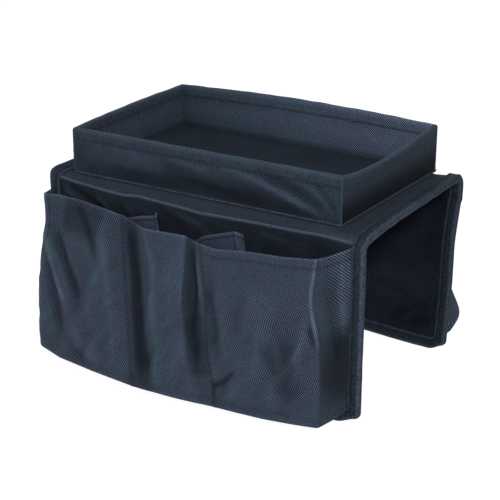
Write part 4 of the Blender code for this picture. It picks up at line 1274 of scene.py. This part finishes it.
# its tones: painted highlights and painted shade drawn on its folds and following them, a painted highlight
# on the right pocket's crisp crease with painted shade beside it, a painted highlight on the hem with painted
# shade in its seam, painted shade in the seams, and painted shade with a little painted light at the left
# end's edge
fromHem = np.concatenate([down[:, 0], np.full(footRows, pocketLooks["height"])])[:, None]
creaseColumn = columnOf["crease"]
crisp = bell(columnAt, creaseColumn, 6.0)
for column in seamColumns:
    crisp = np.maximum(crisp, bell(columnAt, column, 5.0))
creaseSeen = 1 - smoothStep(fromHem, *pocketLooks["creaseLength"])
tone = drawnTone(pocketWhole[..., 0], pocketWhole[..., 2], pocketLooks["marks"])
tone = tone * wearAndFoldShade(pocketWhole) ** (1 - 0.75 * crisp)
tone = tone * (1 + 0.55 * creaseSeen * bell(columnAt, creaseColumn, 0.9))
tone = tone * (1 - 0.30 * creaseSeen * bell(columnAt, creaseColumn + 2.6, 1.2))
tone = tone * hemTone(fromHem, 0.85, 0.35 * hemSeen, hemDepth)
for column in seamColumns:
    tone = tone * (1 - 0.35 * bell(columnAt, column, 1.3))
edgeColumn = int(round(columnOf["leftEdge"] + (columnOf["leftA"] - columnOf["leftEdge"]) / 3))
upper = 1 - smoothStep(fromHem, *pocketLooks["edgeLength"])
tone = tone * (1 - 0.45 * upper * bell(columnAt, edgeColumn, 1.0))
tone = tone * (1 + 0.12 * upper * (1 - smoothStep(columnAt, edgeColumn - 2, edgeColumn)))
tone = tone * pocketLooks["tone"]
pocketFront = clothPiece("frontPocketCloth", pocketWhole, navyCloth, pocketLooks["clothThick"], tone=tone)
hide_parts("front_pocket_left", "front_pocket_middle", "front_pocket_right")
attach(pocketFront, "front_flap")

proud = pocketWhole + facing(pocketWhole) * 0.12
seamLines = [proud[2:-footRows, int(round(column))] for column in seamColumns]
hemRow = int(round(hemDepth / pocketLooks["height"] * (pocketRows - 1)))
hemLine = proud[hemRow, int(round(columnOf["seamTwo"])) + 4:-6]
pocketThread = sewLines("frontPocketStitches", seamLines + [hemLine, proud[2:42, edgeColumn]])
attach(pocketThread, "front_flap")

# Inner pockets, behind the mouths of the outer ones
print("inner pockets: two slim ones behind the mouths")
innerLooks = {
    "thick": 0.8, "foot": -101.0, "length": 88.0, "count": 90,
    "lean": 9.0,                # how far the foot lies to the right of the mouth
    "hemDepth": 4.6,
    # plan of the mouth from end to end: (x, depth), then the hem's height at each point
    "mouths": {
        "left": [(-76, 0.6, -26), (-73.6, 3, -24.6), (-57.7, 6, -18.9), (-43.5, 6.4, -15.6),
            (-41.2, 5.2, -14.4), (-42, 3, -10.2), (-47, 1.9, -8.2), (-54, 1.7, -8.6)],
        "right": [(-2, 0.6, -31.5), (0.5, 2.6, -30.5), (8.9, 5.4, -24.7), (25.8, 6.4, -18.7),
            (39, 6.4, -14.3), (42.5, 5.6, -14.4), (46.4, 0.8, -17.5)],
    },
    "creaseAt": {"left": 0.66, "right": 0.81},      # the share of the mouth where the end is folded back
}
for name, points in innerLooks["mouths"].items():
    count = innerLooks["count"]
    mouth = smoothThrough([(x, frontFace - 0.2 - depth, z) for x, depth, z in points], count)
    drop = (np.linspace(0, 1, count) ** 1.7)[:, None]
    grid = np.zeros((count, count, 3))
    grid[..., 0] = mouth[None, :, 0] + drop * innerLooks["lean"]
    grid[..., 1] = frontFace - 0.4 + (mouth[None, :, 1] - frontFace + 0.4) * (1 - 0.75 * drop)
    grid[..., 2] = mouth[None, :, 2] * (1 - drop) + innerLooks["foot"] * drop
    fallen = drop * innerLooks["length"]
    lift = 0.35 * wrinkles(grid[..., 0], grid[..., 2], 16.0, 31, 0.2, 1.2) * smoothStep(drop, 0.02, 0.2)
    lift = lift + 0.55 * (1 - smoothStep(fallen, 2.4, 4.2)) - 0.3 * bell(fallen, innerLooks["hemDepth"], 0.9)
    grid += facing(grid) * lift[..., None]
    creaseAt = innerLooks["creaseAt"][name]
    # a painted highlight on the pale hem, painted shade in its seam and in the crease of the folded-back end,
    # besides the painted light and shade that follow the folds
    tone = wearAndFoldShade(grid) * hemTone(fallen, 0.6, 0.35, innerLooks["hemDepth"], 1.4, 0.9)
    tone = tone * (1 - 0.5 * bell(np.linspace(0, 1, count)[None, :], creaseAt, 0.016))
    piece = clothPiece(f"innerPocketCloth_{name}", grid, navyCloth, innerLooks["thick"], tone=tone)
    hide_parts(f"inner_pocket_{name}")
    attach(piece, "front_flap")

# Rear pockets
print("rear pockets: two, hanging behind the rear flap")
rearPocketLooks = {
    "thick": 0.8, "columns": 260, "rows": 100, "softness": 3.0,
    "start": 25.0, "height": 125.0,         # the hem's distance from the fold, and the cloth's length
    "hemDepth": 8.0, "footRows": 14, "footSag": 1.5,
    # (x, depth behind the flap, distance down the flap from the fold)
    "lines": {
        "rightSeam": [(150, 0.4, 24), (150, 0.4, 60), (150, 0.4, 100), (149, 0.4, 130), (148, 0.4, 148)],
        "rightEdge": [(148, 9, 25), (148, 15, 66), (149, 24, 108), (155, 41, 139), (149, 35, 156)],
        "rightFront": [(125, 12, 27), (125, 20, 60), (126, 29, 98), (126, 38, 128), (124, 37, 151)],
        "rightMiddle": [(75, 13, 31), (75, 22, 62), (75, 31, 98), (75, 38, 128), (75, 37, 151)],
        "rightInner": [(28, 12, 29), (28, 19, 61), (27, 27, 98), (27, 34, 128), (27, 34, 151)],
        "ridgeA": [(9, 10, 28), (9, 15, 60), (9, 20, 98), (10, 26, 128), (11, 28, 150)],
        "seam": [(0, 2.5, 27), (0, 5, 60), (0, 9, 98), (0, 15, 128), (0, 20, 150)],
        "ridgeB": [(-9, 10, 28), (-9, 15, 60), (-10, 20, 98), (-10, 26, 128), (-11, 28, 150)],
        "leftInner": [(-28, 12, 29), (-28, 20, 61), (-28, 28, 98), (-28, 35, 128), (-27, 34, 151)],
        "leftMiddle": [(-75, 14, 31), (-75, 23, 62), (-75, 31, 98), (-75, 38, 128), (-75, 37, 151)],
        "leftFront": [(-125, 12, 27), (-125, 20, 60), (-125, 28, 98), (-125, 36, 128), (-124, 35, 151)],
        "leftEdge": [(-148, 9, 25), (-148, 14, 60), (-148, 20, 98), (-148, 27, 126), (-147, 28, 150)],
        "leftSeam": [(-150, 0.4, 24), (-150, 0.4, 60), (-150, 0.4, 100), (-149, 0.4, 130), (-148, 0.4, 148)],
    },
    "folds": [
        ([(120, 32), (112, 70), (94, 110)], 6, 1.8, 0.4),
        ([(60, 34), (52, 74), (40, 120)], 6, -1.8, 0.3),
        ([(96, 100), (110, 124), (130, 142)], 5, 1.8, 0.4),
        ([(-40, 34), (-58, 80), (-70, 126)], 6, 1.8, 0.3),
        ([(-128, 40), (-118, 84), (-100, 124)], 6, -2, 0.4),
        ([(-92, 34), (-98, 66), (-92, 96)], 5, 1.4, 0.3),
    ],
}
rearLines = []
flapBottom = panelLength["rear"] - foldAt
for line in rearPocketLooks["lines"].values():
    lineX, depth, fallen = np.array(line).T
    point, outward = panelAt("rear", lineX, np.minimum(fallen, flapBottom - 3.0) + foldAt)
    rearLines.append(point + outward * (depth + 0.3)[:, None])
rearRows, rearColumns, footRows = (rearPocketLooks[key] for key in ("rows", "columns", "footRows"))
rearGrid, _ = loftCloth(rearLines, rearRows, rearColumns, rearPocketLooks["softness"])
x = rearGrid[..., 0]
share = np.linspace(0, 1, rearRows)[:, None]
fromHem = share * rearPocketLooks["height"]
down = rearPocketLooks["start"] + fromHem
height = foldHeight(x, down, rearPocketLooks["folds"])
height = height + 1.1 * wrinkles(x, down * 0.6, 40.0, 41, 0.4, 1.6) * smoothStep(share, 0.05, 0.3)
height = height + 0.35 * wrinkles(x, down, 15.0, 42) * smoothStep(share, 0.1, 0.4)
free = smoothStep(150 - np.abs(x), 0.5, 12.0) * (1 - smoothStep(share, 0.94, 1.0) * 0.8)
rearGrid = rearGrid + facing(rearGrid) * (height * free)[..., None]
footX = np.linspace(rearGrid[-1, 0, 0], rearGrid[-1, -1, 0], rearColumns)
point, outward = panelAt("rear", footX, np.full(rearColumns, panelLength["rear"] - 4.0))
rearGrid = addFoot(rearGrid, footRows, point + outward * 0.8, rearPocketLooks["footSag"])
fromHem = np.concatenate([fromHem[:, 0], np.full(footRows, rearPocketLooks["height"])])[:, None]
# painted highlights where the cloth stands out and on the hem, painted shade in its folds and its seam
tone = wearAndFoldShade(rearGrid) * hemTone(fromHem, 0.45, 0.3, rearPocketLooks["hemDepth"])
rearPocket = clothPiece("rearPocketCloth", rearGrid, navyCloth, rearPocketLooks["thick"], tone=tone)
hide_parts("rear_pocket_left", "rear_pocket_right")
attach(rearPocket, "rear_flap")

# The floor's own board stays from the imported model
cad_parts["tray_floor_board"].data.materials.clear()
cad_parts["tray_floor_board"].data.materials.append(boardStuff)
